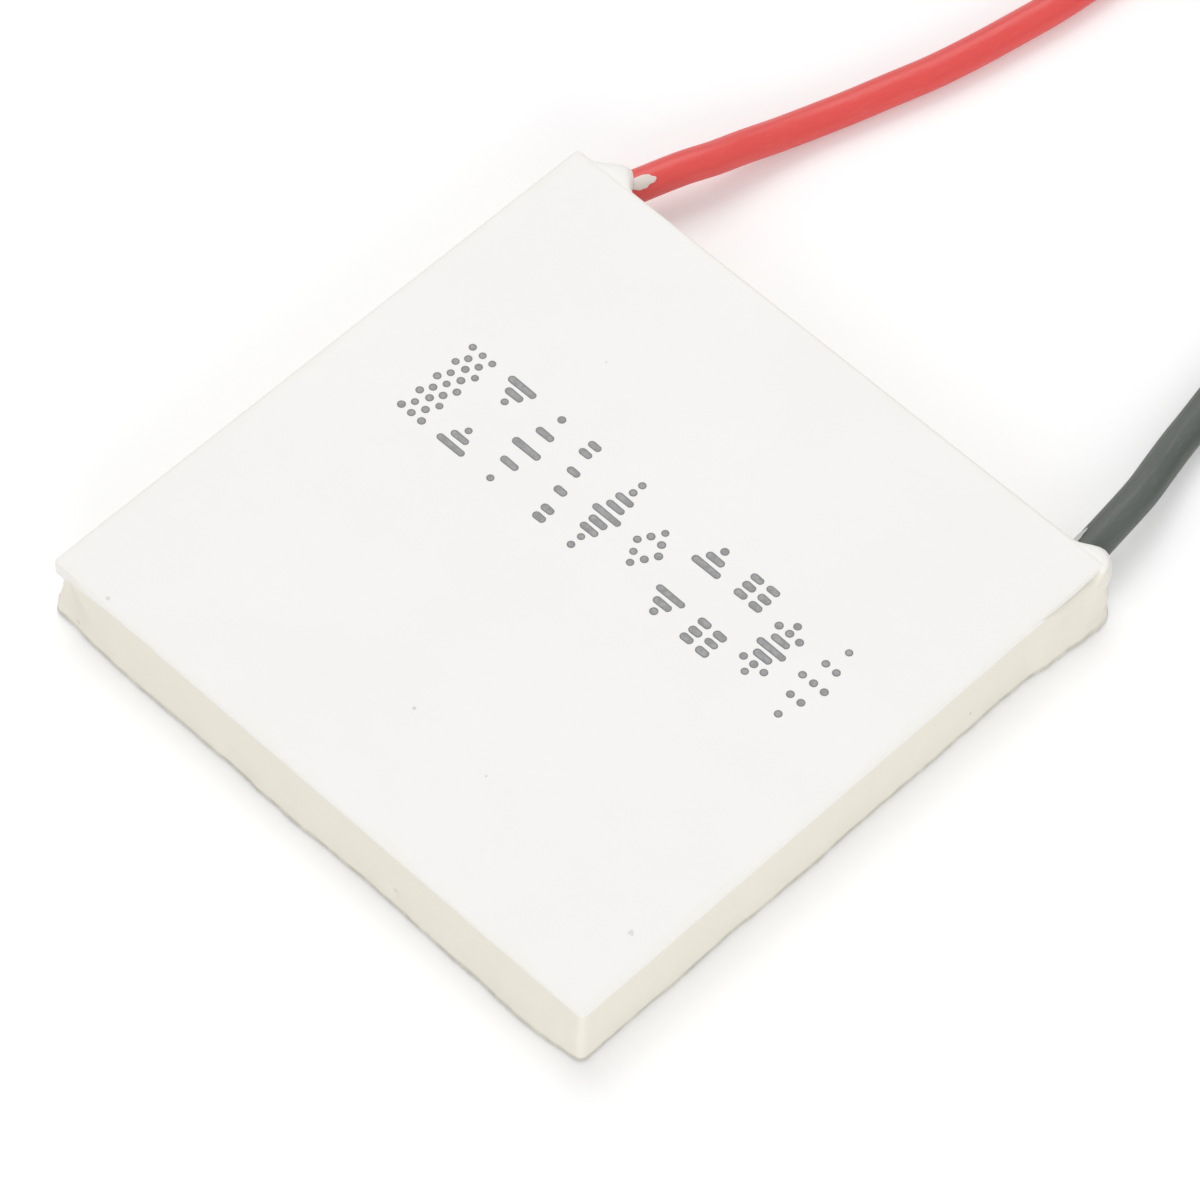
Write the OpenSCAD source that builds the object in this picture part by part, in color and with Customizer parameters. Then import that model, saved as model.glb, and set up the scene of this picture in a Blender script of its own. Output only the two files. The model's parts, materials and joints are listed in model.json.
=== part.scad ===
// Thermoelectric cooling module: two ceramic plates that hold 71 couples of pellets between them,
// sealed round the edges, with a red and a black lead.
// Millimetres, +Z up. The origin is the centre of the hot side's outer face, on the surface that
// the module lies on, and the leads leave the +Y edge.

/* [Ceramic plates] */
// Width of both plates, along the edge that the leads leave
plate_w = 30; // [26:0.5:40]
// Length of both plates, from front to rear
plate_l = 30; // [26:0.5:40]
// Thickness of the hot-side plate
hot_plate_t = 0.8; // [0.5:0.05:1.5]
// Thickness of the cold-side plate
cold_plate_t = 0.8; // [0.6:0.05:1.5]
// Radius of the plates' corners
plate_corner_r = 0.25; // [0.05:0.05:0.35]

/* [Pellets] */
// Side of a square pellet
pellet_w = 1.4; // [1:0.05:1.5]
// Height of a pellet
pellet_h = 1.3; // [1.2:0.05:2.5]
// Distance from a plate's edge to the outermost pellets
edge_margin = 1.1; // [1:0.05:1.6]

/* [Copper tabs] */
// Thickness of a tab
tab_t = 0.3; // [0.25:0.05:0.5]
// How far a tab stands out past its pellets
tab_rim = 0.1; // [0.05:0.01:0.15]

/* [Edge sealant] */
// Clearance between the sealant and the outermost tabs
seal_clear = 0.1; // [0.05:0.01:0.2]
// How far the sealant stands out over a plate's edge near the hot side
skin_base_t = 0.32; // [0.2:0.01:0.45]
// How far it stands out near the cold side
skin_top_t = 0.06; // [0.03:0.01:0.12]
// Radius of the sealant's foot
skin_foot_r = 0.28; // [0.1:0.01:0.3]
// Gap between the sealant over the plates' edges and the two outer faces
skin_shy = 0.04; // [0.02:0.01:0.1]
// Bare length of a plate's edge at each corner
corner_bare = 0.5; // [0.4:0.05:1]
// Radius of the hollow that the sealant leaves at each front corner
front_hollow_r = 1.3; // [0.8:0.05:1.35]
// Radius of the hollow at each rear corner
rear_hollow_r = 0.7; // [0.5:0.05:0.9]
// Gap between the mound of sealant over each lead and the two outer faces
mound_shy = 0.2; // [0.1:0.01:0.4]

/* [Leads] */
// Outer diameter of a lead's insulation
lead_d = 1.5; // [1.2:0.05:1.7]
// Diameter of a lead's stranded conductor
conductor_d = 0.76; // [0.5:0.02:0.8]
// How far the insulation reaches in past the plates' edge
lead_inset = 0.55; // [0.3:0.05:0.6]
// Length of the tinned end of each lead
tip_l = 6; // [3:0.5:8]
// Radius of the solder joint on each lead's pad
solder_r = 0.75; // [0.6:0.01:0.78]
// How far the solder joint lies in from the middle of its pad
solder_inset = 0.3; // [0.1:0.05:0.5]

/* [Hidden] */
columns = 12;
rows = 12;
module_h = hot_plate_t + cold_plate_t + 2 * tab_t + pellet_h;
gap_h = module_h - hot_plate_t - cold_plate_t;
cold_plate_z = module_h - cold_plate_t;
hot_tab_top = hot_plate_t + tab_t;
cold_tab_z = cold_plate_z - tab_t;
pitch_x = (plate_w - 2 * edge_margin - pellet_w) / (columns - 1);
pitch_y = (plate_l - 2 * edge_margin - pellet_w) / (rows - 1);
tab_w = pellet_w + 2 * tab_rim;
seal_depth = edge_margin - tab_rim - seal_clear;
hollow_rise = 0.4;

// Each lead: the point where its axis crosses the plates' edge
lead_z = hot_plate_t + gap_h / 2;
pad_x = plate_w / 2 - edge_margin - pellet_w / 2;
pad_y = plate_l / 2 - edge_margin - pellet_w / 2;
red_exit = [-pad_x, plate_l / 2, lead_z];
black_exit = [pad_x + 0.25, plate_l / 2, lead_z];

// Each lead's route from its exit: X and Y from the exit, then how far it has come down from the
// exit's height (0) to lying on the surface (1)
red_route = [
    [0, 0, 0], [1.05, 3.3, 0], [1.6, 4.9, 0.15], [1.9, 6.4, 0.45], [2.25, 7.9, 0.75],
    [2.7, 9.6, 0.95], [3.3, 11.5, 1], [3.9, 13.5, 1], [4.5, 15.5, 1], [5, 17.7, 1],
    [5.4, 19.9, 1], [5.75, 22, 1], [5.95, 24.2, 1], [6, 26.4, 1], [6, 31.4, 1]
];
black_route = [
    [0, 0, 0], [-0.35, 3.3, 0], [-0.6, 4.9, 0.15], [-1, 6.4, 0.45], [-1.4, 7.9, 0.75],
    [-1.75, 9.6, 0.95], [-2.05, 11.2, 1], [-2.25, 12.7, 1], [-2.25, 14.4, 1]
];

// Each lead's spare length: two layers of turns, inwards on the surface and outwards on top
red_turns = 3.25;
black_turns = 3.6;
coil_out_r = 9.6;
coil_in_r = 6.4;
layer_turns = 2;
ramp_turns = 0.25;
coil_entry = 5.6;

function two_digits(k) = k < 10 ? str("0", k) : str(k);
function pair_name(part, k) = str(part, "_", two_digits(2 * k + 1), "_", two_digits(2 * k + 2));
function column_name(part, k) = str(part, "_", two_digits(k + 1));

// --- The series path: down the first column, up the next, and so on ---

function column_x(c) = -pad_x + c * pitch_x;
function row_y(r) = -pad_y + r * pitch_y;
// Row at a step along a column: even columns run to the front, odd ones to the rear
function step_row(c, s) = c % 2 == 0 ? rows - 1 - s : s;
function step_y(c, s) = row_y(step_row(c, s));
// The first and the last place on the path are the leads' pads and hold no pellet
function is_pad(c, s) = (c == 0 && s == 0) || (c == columns - 1 && s == rows - 1);

// --- Ceramic plates ---

module plate_outline() {
    square([plate_w - 2 * plate_corner_r, plate_l], center = true);
    square([plate_w, plate_l - 2 * plate_corner_r], center = true);
    for (x = [-1, 1], y = [-1, 1])
        translate([x * (plate_w / 2 - plate_corner_r), y * (plate_l / 2 - plate_corner_r)])
            circle(r = plate_corner_r, $fn = 32);
}

module hot_side_plate() {
    color("#f1efea") linear_extrude(hot_plate_t) plate_outline();
}

module cold_side_plate() {
    color("#f5f4f1") translate([0, 0, cold_plate_z]) linear_extrude(cold_plate_t) plate_outline();
}

// --- Copper tabs ---

module tab(x, y, z, span_x, span_y) {
    translate([x, y, z + tab_t / 2]) cube([tab_w + span_x, tab_w + span_y, tab_t], center = true);
}

// A tab on one column that joins the pellets at two steps
module column_tab(c, s, z) {
    tab(column_x(c), (step_y(c, s) + step_y(c, s + 1)) / 2, z, 0, pitch_y);
}

module hot_tabs(k) {
    color("#c27a4a")
        for (c = [2 * k, 2 * k + 1], s = [0:2:rows - 2])
            column_tab(c, s, hot_plate_t);
}

module cold_tabs(k) {
    color("#c27a4a")
        for (c = [2 * k, 2 * k + 1], s = [1:2:rows - 3])
            column_tab(c, s, cold_tab_z);
}

// Tabs that carry the path from each column's end to the next column
module cold_link_tabs(first) {
    color("#c27a4a")
        for (c = [first:2:columns - 2])
            tab((column_x(c) + column_x(c + 1)) / 2, step_y(c, rows - 1), cold_tab_z, pitch_x, 0);
}

// --- Pellets ---

module pellets(c, first) {
    for (s = [first:2:rows - 1])
        if (!is_pad(c, s))
            translate([column_x(c), step_y(c, s), hot_tab_top + pellet_h / 2])
                cube([pellet_w, pellet_w, pellet_h], center = true);
}

module n_pellets(c) { color("#6f7378") pellets(c, 1); }

module p_pellets(c) { color("#8a8580") pellets(c, 0); }

// --- Edge sealant ---

// Section of the sealant over a plate's edge: X out from the edge, Y up. It leans out to a round foot.
function skin_section() = concat(
    [[0, skin_shy]],
    [for (a = [-90:15:0])
        [skin_base_t - skin_foot_r * (1 - cos(a)), skin_shy + skin_foot_r * (1 + sin(a))]],
    [[skin_top_t, module_h - skin_shy - skin_top_t], [0, module_h - skin_shy]]
);

// The skin along one side, rounded off at both ends
module side_skin(offset_x, side_l) {
    run = side_l - 2 * corner_bare - 2 * skin_base_t;
    translate([offset_x, 0, 0]) {
        rotate([90, 0, 0]) linear_extrude(run, center = true) polygon(skin_section());
        translate([0, run / 2, 0]) rotate_extrude(angle = 90, $fn = 48) polygon(skin_section());
        translate([0, -run / 2, 0])
            rotate([0, 0, -90]) rotate_extrude(angle = 90, $fn = 48) polygon(skin_section());
    }
}

// The wall that fills the gap between the plates, all the way round
module gap_wall() {
    translate([0, 0, hot_plate_t]) linear_extrude(gap_h) difference() {
        plate_outline();
        square([plate_w - 2 * seal_depth, plate_l - 2 * seal_depth], center = true);
    }
}

// The mound over a lead, as far as it stands out past the plates
module lead_mound(exit, shift) {
    difference() {
        translate([exit[0] + shift[0], exit[1] + shift[1], module_h / 2 + shift[2]])
            sphere(r = module_h / 2 - shift[2] - mound_shy, $fn = 64);
        translate([0, 0, -1]) linear_extrude(module_h + 2) plate_outline();
    }
}

// The way through for a lead, along the straight start of its route
module lead_bore(exit, route) {
    way = route[1] - route[0];
    translate([exit[0], exit[1], exit[2]])
        rotate([0, 0, -atan2(way[0], way[1])]) rotate([90, 0, 0])
            cylinder(d = lead_d, h = 10, center = true, $fn = 48);
}

module corner_hollow(x, y, r) {
    translate([x * plate_w / 2, y * plate_l / 2, cold_plate_z + hollow_rise]) sphere(r = r, $fn = 48);
}

module edge_sealant() {
    color("#e6e0d2") difference() {
        union() {
            gap_wall();
            for (turn = [0, 180]) rotate([0, 0, turn]) side_skin(plate_w / 2, plate_l);
            for (turn = [90, 270]) rotate([0, 0, turn]) side_skin(plate_l / 2, plate_w);
            lead_mound(red_exit, [-0.35, 0.05, 0.05]);
            lead_mound(black_exit, [0.5, 0, 0.05]);
        }
        lead_bore(red_exit, red_route);
        lead_bore(black_exit, black_route);
        for (x = [-1, 1]) {
            corner_hollow(x, -1, front_hollow_r);
            corner_hollow(x, 1, rear_hollow_r);
        }
    }
}

// --- Leads ---

function unit(v) = v / norm(v);
// Points of a route in the module's frame, on the way down from the exit to the surface
function laid(exit, route) = [
    for (p = route) [exit[0] + p[0], exit[1] + p[1], exit[2] - p[2] * (exit[2] - lead_d / 2)]
];
// The direction in which a lead leaves
function way_out(exit, route) = let (p = laid(exit, route)) unit(p[1] - p[0]);
function inner_end(exit, route) = exit - lead_inset * way_out(exit, route);

function heading(path, i) = unit(path[min(i + 1, len(path) - 1)] - path[max(i - 1, 0)]);
// One ring of a tube, square to its path
function ring(path, i, d, sides) =
    let (t = heading(path, i), side = unit(cross(t, [0, 0, 1])), up = cross(side, t))
        [for (k = [0:sides - 1]) let (a = (k + 0.5) * 360 / sides)
            path[i] + d / 2 * (cos(a) * side + sin(a) * up)];

module tube(path, d, sides = 8) {
    last = len(path) - 1;
    polyhedron(
        points = [for (i = [0:last]) each ring(path, i, d, sides)],
        faces = concat(
            [[for (k = [sides - 1:-1:0]) k]],
            [for (i = [0:last - 1], k = [0:sides - 1]) let (n = (k + 1) % sides)
                [i * sides + k, i * sides + n, (i + 1) * sides + n, (i + 1) * sides + k]],
            [[for (k = [0:sides - 1]) last * sides + k]]
        ),
        convexity = 6
    );
}

module lead(exit, route) {
    p = laid(exit, route);
    tube(concat([inner_end(exit, route)], [for (i = [1:len(p) - 1]) p[i]]), lead_d);
}

// The stripped strands, from the insulation's inner end down onto the pad
solder_y = pad_y - solder_inset;
strand_z = hot_tab_top + conductor_d / 2 + 0.1;

module conductor(exit, route, x) {
    start = inner_end(exit, route);
    tube([
        start,
        start - 0.25 * way_out(exit, route),
        [x, solder_y + solder_r + 0.05, strand_z],
        [x, solder_y - solder_r + 0.05, strand_z]
    ], conductor_d);
}

module solder_joint(x) {
    color("#b9bcc0") difference() {
        intersection() {
            translate([x, solder_y, hot_tab_top]) sphere(r = solder_r, $fn = 48);
            translate([x - solder_r, solder_y - solder_r, hot_tab_top]) cube(2 * solder_r);
        }
        translate([x, solder_y - solder_r + 0.05, strand_z]) rotate([-90, 0, 0])
            cylinder(d = conductor_d, h = 2 * solder_r, $fn = 32);
    }
}

// Radius of the coil where it ends, on the outward turns of the upper layer
function coil_end_r(turns) = coil_in_r + lead_d * (turns - layer_turns - ramp_turns);
// Middle of the coil: the lead comes in along +Y at its left side and turns to the right
function coil_middle(exit, route) = let (p = laid(exit, route))
    [p[len(p) - 1][0] + coil_out_r, p[len(p) - 1][1] + coil_entry, 0];
function end_angle(turns) = 180 - 360 * (turns - floor(turns));
function tip_angle(turns) = tip_l / coil_end_r(turns) * 180 / PI;

module lead_coil(exit, route, turns) {
    edge = 0.3;
    in_r = coil_in_r - lead_d / 2;
    out_r = coil_out_r + lead_d / 2;
    split_r = coil_end_r(turns) - conductor_d / 2 - 0.1;
    top_r = coil_end_r(turns) + lead_d / 2;
    translate(coil_middle(exit, route)) {
        rotate_extrude($fn = 72) polygon([
            [in_r, edge], [in_r + edge, 0], [out_r - edge, 0], [out_r, edge],
            [out_r, lead_d - edge], [out_r - edge, lead_d], [split_r, lead_d],
            [split_r, 2 * lead_d], [in_r + edge, 2 * lead_d], [in_r, 2 * lead_d - edge]
        ]);
        rotate([0, 0, end_angle(turns)]) rotate_extrude(angle = 355 - tip_angle(turns), $fn = 72) polygon([
            [split_r, lead_d], [top_r, lead_d], [top_r, 2 * lead_d - edge],
            [top_r - edge, 2 * lead_d], [split_r, 2 * lead_d]
        ]);
        translate([-coil_out_r, 0, lead_d / 2]) rotate([90, 0, 0])
            cylinder(d = lead_d, h = coil_entry, $fn = 32);
    }
}

module lead_tip(exit, route, turns) {
    color("#c4c7ca") translate(coil_middle(exit, route)) translate([0, 0, 1.5 * lead_d])
        rotate([0, 0, end_angle(turns) - tip_angle(turns)])
            rotate_extrude(angle = tip_angle(turns), $fn = 72)
                translate([coil_end_r(turns), 0]) circle(d = conductor_d, $fn = 32);
}

module red_conductor() { color("#c4c7ca") conductor(red_exit, red_route, -pad_x); }
module black_conductor() { color("#c4c7ca") conductor(black_exit, black_route, pad_x); }
module red_solder_joint() { solder_joint(-pad_x); }
module black_solder_joint() { solder_joint(pad_x); }
module red_lead() { color("#d9504e") lead(red_exit, red_route); }
module black_lead() { color("#3c403d") lead(black_exit, black_route); }
module red_lead_coil() { color("#d9504e") lead_coil(red_exit, red_route, red_turns); }
module black_lead_coil() { color("#3c403d") lead_coil(black_exit, black_route, black_turns); }
module red_lead_tip() { lead_tip(red_exit, red_route, red_turns); }
module black_lead_tip() { lead_tip(black_exit, black_route, black_turns); }

cold_side_plate();
hot_side_plate();
edge_sealant();
for (k = [0:columns / 2 - 1]) {
    hot_tabs(k);
    cold_tabs(k);
}
cold_link_tabs(0);  // cold_link_tabs_front
cold_link_tabs(1);  // cold_link_tabs_rear
for (c = [0:columns - 1]) {
    n_pellets(c);
    p_pellets(c);
}
red_conductor();
black_conductor();
red_solder_joint();
black_solder_joint();
red_lead();
black_lead();
red_lead_coil();
black_lead_coil();
red_lead_tip();
black_lead_tip();
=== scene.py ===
"""Dresses the thermoelectric cooling module: plates, edge sealant, printed marks, leads and inner parts.

Lengths in the dataclasses are millimetres unless a name says otherwise; meshes are in metres, in the
module's frame: the origin is the centre of the hot face, +Z is the cold face, the leads leave at +Y.
"""

from __future__ import annotations

import json
import logging
import math
import random
import re
from dataclasses import dataclass, field, replace
from enum import Enum
from typing import Callable, Iterable, Sequence

import bpy
from mathutils import Matrix, Vector

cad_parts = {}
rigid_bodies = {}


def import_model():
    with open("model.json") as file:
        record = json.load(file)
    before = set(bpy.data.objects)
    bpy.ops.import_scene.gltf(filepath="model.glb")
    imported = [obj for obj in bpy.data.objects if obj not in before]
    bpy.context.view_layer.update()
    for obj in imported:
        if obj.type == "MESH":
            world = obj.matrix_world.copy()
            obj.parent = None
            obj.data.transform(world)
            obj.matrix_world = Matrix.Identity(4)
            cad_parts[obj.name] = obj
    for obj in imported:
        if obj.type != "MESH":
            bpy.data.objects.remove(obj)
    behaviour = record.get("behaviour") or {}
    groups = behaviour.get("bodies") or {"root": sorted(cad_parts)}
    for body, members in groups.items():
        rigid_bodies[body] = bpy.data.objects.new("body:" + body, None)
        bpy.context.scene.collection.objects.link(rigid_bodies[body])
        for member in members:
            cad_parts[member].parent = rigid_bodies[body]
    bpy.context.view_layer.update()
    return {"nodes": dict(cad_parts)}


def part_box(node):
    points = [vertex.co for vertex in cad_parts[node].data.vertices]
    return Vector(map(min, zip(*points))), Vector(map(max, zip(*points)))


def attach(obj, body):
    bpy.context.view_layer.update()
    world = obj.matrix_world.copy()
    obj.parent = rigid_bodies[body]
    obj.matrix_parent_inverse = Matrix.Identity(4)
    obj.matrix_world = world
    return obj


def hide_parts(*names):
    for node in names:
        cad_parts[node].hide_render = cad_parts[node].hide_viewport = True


LOG = logging.getLogger("cooling_module")
MM = 0.001
WELD_MM = 0.0005  # vertices nearer than this are one
BODY = "root"

Colour = tuple[float, float, float]
Point = tuple[float, float, float]
Test = Callable[[Vector, Vector], bool]
Span = tuple[float, float]
Knots = tuple[Span, ...]
Marks = tuple[tuple[float, float, float, float], ...]
Values = dict[str | int, object]
Socket = bpy.types.NodeSocket
Sockets = bpy.types.NodeOutputs


# --- Modelling by hand ----------------------------------------------------------------------------


class Pick(Enum):
    """What a pick selects."""

    VERT = "VERT"
    EDGE = "EDGE"
    FACE = "FACE"


def metres(point: Sequence[float]) -> Vector:
    """Turns a point in millimetres into metres."""
    return Vector(point) * MM


def deselect_all() -> None:
    """Leaves nothing selected."""
    for obj in bpy.context.view_layer.objects:
        obj.select_set(False)


@dataclass
class Workpiece:
    """One mesh on the bench, with the modelling operators applied to it.

    Attributes:
        obj: The mesh object, which sits at the origin.
    """

    obj: bpy.types.Object

    @classmethod
    def from_active(cls, name: str) -> Workpiece:
        """Takes up the primitive that was just added, with its place put into its mesh.

        Args:
            name: Name of the piece.

        Returns:
            The workpiece.
        """
        obj = bpy.context.view_layer.objects.active
        obj.name = obj.data.name = name
        deselect_all()
        obj.select_set(True)
        bpy.ops.object.transform_apply(location=True, rotation=True, scale=True)
        return cls(obj)

    @classmethod
    def block(cls, name: str, middle: Sequence[float], size: Sequence[float]) -> Workpiece:
        """Adds a block.

        Args:
            name: Name of the piece.
            middle: Its middle, in metres.
            size: Its sides, in metres.

        Returns:
            The workpiece.
        """
        deselect_all()
        bpy.ops.mesh.primitive_cube_add(size=1.0, location=middle, scale=size)
        return cls.from_active(name)

    def hold(self) -> None:
        """Makes this the only selected and the active object."""
        deselect_all()
        bpy.context.view_layer.objects.active = self.obj
        self.obj.select_set(True)

    def edit(self, action: Callable[[], object]) -> None:
        """Runs an action in edit mode.

        Args:
            action: What to do there.
        """
        self.hold()
        bpy.ops.object.mode_set(mode="EDIT")
        action()
        bpy.ops.object.mode_set(mode="OBJECT")

    def pick(self, kind: Pick, test: Test) -> None:
        """Selects the elements that pass a test and nothing else.

        Args:
            kind: Vertices, edges or faces.
            test: Told an element's middle in millimetres, and its normal, or for an edge its run.
        """

        def clear() -> None:
            """Leaves no element selected."""
            bpy.ops.mesh.select_mode(type=kind.value)
            bpy.ops.mesh.select_all(action="DESELECT")

        self.edit(clear)
        mesh = self.obj.data
        if kind is Pick.VERT:
            for vert in mesh.vertices:
                vert.select = test(vert.co / MM, vert.normal)
        elif kind is Pick.EDGE:
            for edge in mesh.edges:
                a, b = (mesh.vertices[i].co / MM for i in edge.vertices)
                edge.select = test((a + b) / 2, b - a)
        else:
            for face in mesh.polygons:
                face.select = test(face.center / MM, face.normal)

    def move(self, by: Point) -> None:
        """Moves the selection by a distance in millimetres."""
        self.edit(lambda: bpy.ops.transform.translate(value=metres(by)))

    def extrude(self, by: Point) -> None:
        """Extrudes the selection by a distance in millimetres."""
        self.edit(lambda: bpy.ops.mesh.extrude_region_move(TRANSFORM_OT_translate={"value": metres(by)}))

    def bevel(self, width: float, segments: int, affect: str = "EDGES") -> None:
        """Bevels the selection.

        Args:
            width: Width in millimetres.
            segments: Segments across it.
            affect: EDGES or VERTICES.
        """
        size = {"offset_type": "OFFSET", "offset": width * MM, "segments": segments, "profile": 0.5}
        self.edit(lambda: bpy.ops.mesh.bevel(affect=affect, clamp_overlap=True, **size))

    def inset(self, thickness: float, depth: float = 0.0) -> None:
        """Insets the selected faces by a thickness and a depth in millimetres."""
        self.edit(lambda: bpy.ops.mesh.inset(thickness=thickness * MM, depth=depth * MM))

    def weld(self) -> None:
        """Merges doubles and turns every face outwards."""

        def close() -> None:
            """Works on the whole mesh."""
            bpy.ops.mesh.select_all(action="SELECT")
            bpy.ops.mesh.remove_doubles(threshold=WELD_MM * MM)
            bpy.ops.mesh.normals_make_consistent(inside=False)

        self.edit(close)

    def apply(self, kind: str, **settings: object) -> None:
        """Adds a modifier, sets it and applies it.

        Args:
            kind: Type of the modifier.
            **settings: Its properties.
        """
        self.hold()
        modifier = self.obj.modifiers.new(kind.title(), kind)
        for key, value in settings.items():
            setattr(modifier, key, value)
        bpy.ops.object.modifier_apply(modifier=modifier.name)

    def smooth(self, angle: float = 40.0) -> None:
        """Shades smooth, except across edges sharper than an angle in degrees."""
        self.hold()
        bpy.ops.object.shade_smooth_by_angle(angle=math.radians(angle))

    def copy(self, name: str) -> Workpiece:
        """Copies the piece with its own mesh.

        Args:
            name: The copy's name.

        Returns:
            The copy.
        """
        twin = self.obj.copy()
        twin.data = self.obj.data.copy()
        twin.name = twin.data.name = name
        bpy.context.scene.collection.objects.link(twin)
        return Workpiece(twin)

    def place(self, matrix: Matrix) -> None:
        """Puts a place into the mesh."""
        self.obj.data.transform(matrix)

    def places(self) -> list[Vector]:
        """The places of the vertices, in millimetres."""
        return [vert.co / MM for vert in self.obj.data.vertices]

    def weigh(self, name: str, weights: Sequence[float]) -> str:
        """Makes a vertex group.

        Args:
            name: Name of the group.
            weights: Weight of each vertex.

        Returns:
            The group's name.
        """
        group = self.obj.vertex_groups.new(name=name)
        for index, weight in enumerate(weights):
            if weight > 0:
                group.add([index], min(1.0, weight), "REPLACE")
        return name

    def push(self, axis: str, amounts: Sequence[float]) -> None:
        """Pushes each vertex by its own amount.

        Args:
            axis: X, Y or Z.
            amounts: How far each vertex goes along it, in millimetres.
        """
        for sign in (1, -1):
            most = max(sign * amount for amount in amounts)
            if most > 0:
                group = self.weigh("push", [sign * amount / most for amount in amounts])
                reach = sign * most * MM
                self.apply("DISPLACE", direction=axis, vertex_group=group, strength=reach, mid_level=0.0)
                self.obj.vertex_groups.clear()

    def paint(self, name: str, values: Sequence[float]) -> None:
        """Stores a value for each vertex, which a finish can read.

        Args:
            name: Name of the attribute.
            values: The value of each vertex.
        """
        layer = self.obj.data.attributes.new(name, "FLOAT", "POINT")
        for index, value in enumerate(values):
            layer.data[index].value = value


def join(pieces: Sequence[Workpiece], name: str) -> Workpiece:
    """Joins several pieces into one.

    Args:
        pieces: What to join.
        name: Name of the result.

    Returns:
        The joined piece.
    """
    deselect_all()
    for piece in pieces:
        piece.obj.select_set(True)
    bpy.context.view_layer.objects.active = pieces[0].obj
    bpy.ops.object.join()
    obj = pieces[0].obj
    obj.name = obj.data.name = name
    return Workpiece(obj)


def smoothstep(low: float, high: float, value: float) -> float:
    """Rises from 0 at low to 1 at high."""
    share = min(1.0, max(0.0, (value - low) / (high - low)))
    return share * share * (3 - 2 * share)


def between(knots: Sequence[Span], at: float) -> float:
    """Reads a table of places and values, smoothly between its knots.

    Args:
        knots: The table.
        at: Where to read it.

    Returns:
        The value there.
    """
    for (a, low), (b, high) in zip(knots, knots[1:]):
        if at <= b:
            return low + (high - low) * smoothstep(a, b, at)
    return knots[-1][1]


# --- Finishes -------------------------------------------------------------------------------------


@dataclass
class Sheet:
    """A node tree being wired.

    Attributes:
        tree: The tree.
    """

    tree: bpy.types.NodeTree

    def add(self, kind: str, values: Values | None = None, **settings: object) -> bpy.types.Node:
        """Adds a node.

        Args:
            kind: Its type.
            values: Values or output sockets for its inputs, by name or number.
            **settings: Its properties.

        Returns:
            The node.
        """
        node = self.tree.nodes.new(kind)
        for key, value in settings.items():
            setattr(node, key, value)
        return self.feed(node, values or {})

    def feed(self, node: bpy.types.Node, values: Values) -> bpy.types.Node:
        """Sets a node's inputs.

        Args:
            node: The node.
            values: Values or output sockets for its inputs, by name or number.

        Returns:
            The node.
        """
        for key, value in values.items():
            if isinstance(value, Socket):
                self.tree.links.new(value, node.inputs[key])
            else:
                node.inputs[key].default_value = value
        return node

    def place(self) -> Socket:
        """The place on the piece, in metres."""
        return self.add("ShaderNodeTexCoord").outputs["Object"]

    def math(self, operation: str, a: object, b: object = 0.0, clamp: bool = False) -> Socket:
        """Adds a sum of two numbers."""
        return self.add("ShaderNodeMath", {0: a, 1: b}, operation=operation, use_clamp=clamp).outputs[0]

    def ramp(self, value: object, low: float, high: float, start: float = 0.0, end: float = 1.0) -> Socket:
        """Maps low..high smoothly to start..end.

        Args:
            value: What is mapped.
            low, high: Ends of what comes in.
            start, end: Ends of what goes out.

        Returns:
            The mapped value.
        """
        ends = {"From Min": low, "From Max": high, "To Min": start, "To Max": end}
        node = self.add("ShaderNodeMapRange", {"Value": value, **ends}, interpolation_type="SMOOTHSTEP")
        return node.outputs["Result"]

    def mix(self, share: object, a: object, b: object) -> Socket:
        """Mixes two colours.

        Args:
            share: Share of the second colour.
            a, b: The two colours.

        Returns:
            The mixed colour.
        """
        node = self.add("ShaderNodeMix", data_type="RGBA")
        sockets = {s.identifier: s for s in node.inputs}
        for key, value in (("Factor_Float", share), ("A_Color", a), ("B_Color", b)):
            if isinstance(value, Socket):
                self.tree.links.new(value, sockets[key])
            elif isinstance(value, tuple):
                sockets[key].default_value = (*value, 1.0)
            else:
                sockets[key].default_value = value
        return next(s for s in node.outputs if s.identifier == "Result_Color")

    def noise(self, where: object, scale: object, detail: float = 3.0, rough: float = 0.5) -> Socket:
        """Adds noise of a scale in cells per metre."""
        values = {"Vector": where, "Scale": scale, "Detail": detail, "Roughness": rough}
        return self.add("ShaderNodeTexNoise", values).outputs["Fac"]

    def attribute(self, name: str) -> Socket:
        """Reads a value that is stored on the piece."""
        return self.add("ShaderNodeAttribute", attribute_name=name).outputs["Fac"]

    def group(self, tree: bpy.types.NodeTree, values: Values) -> Sockets:
        """Places a node group with its own values and returns its outputs."""
        return self.add("ShaderNodeGroup", values, node_tree=tree).outputs

    def bump(self, height: Socket, distance_mm: float) -> Socket:
        """Turns a height into a normal.

        Args:
            height: Height from 0 to 1.
            distance_mm: What 1 stands for, in millimetres.

        Returns:
            The normal.
        """
        values = {"Height": height, "Distance": distance_mm * MM, "Strength": 1.0}
        return self.add("ShaderNodeBump", values).outputs["Normal"]


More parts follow.
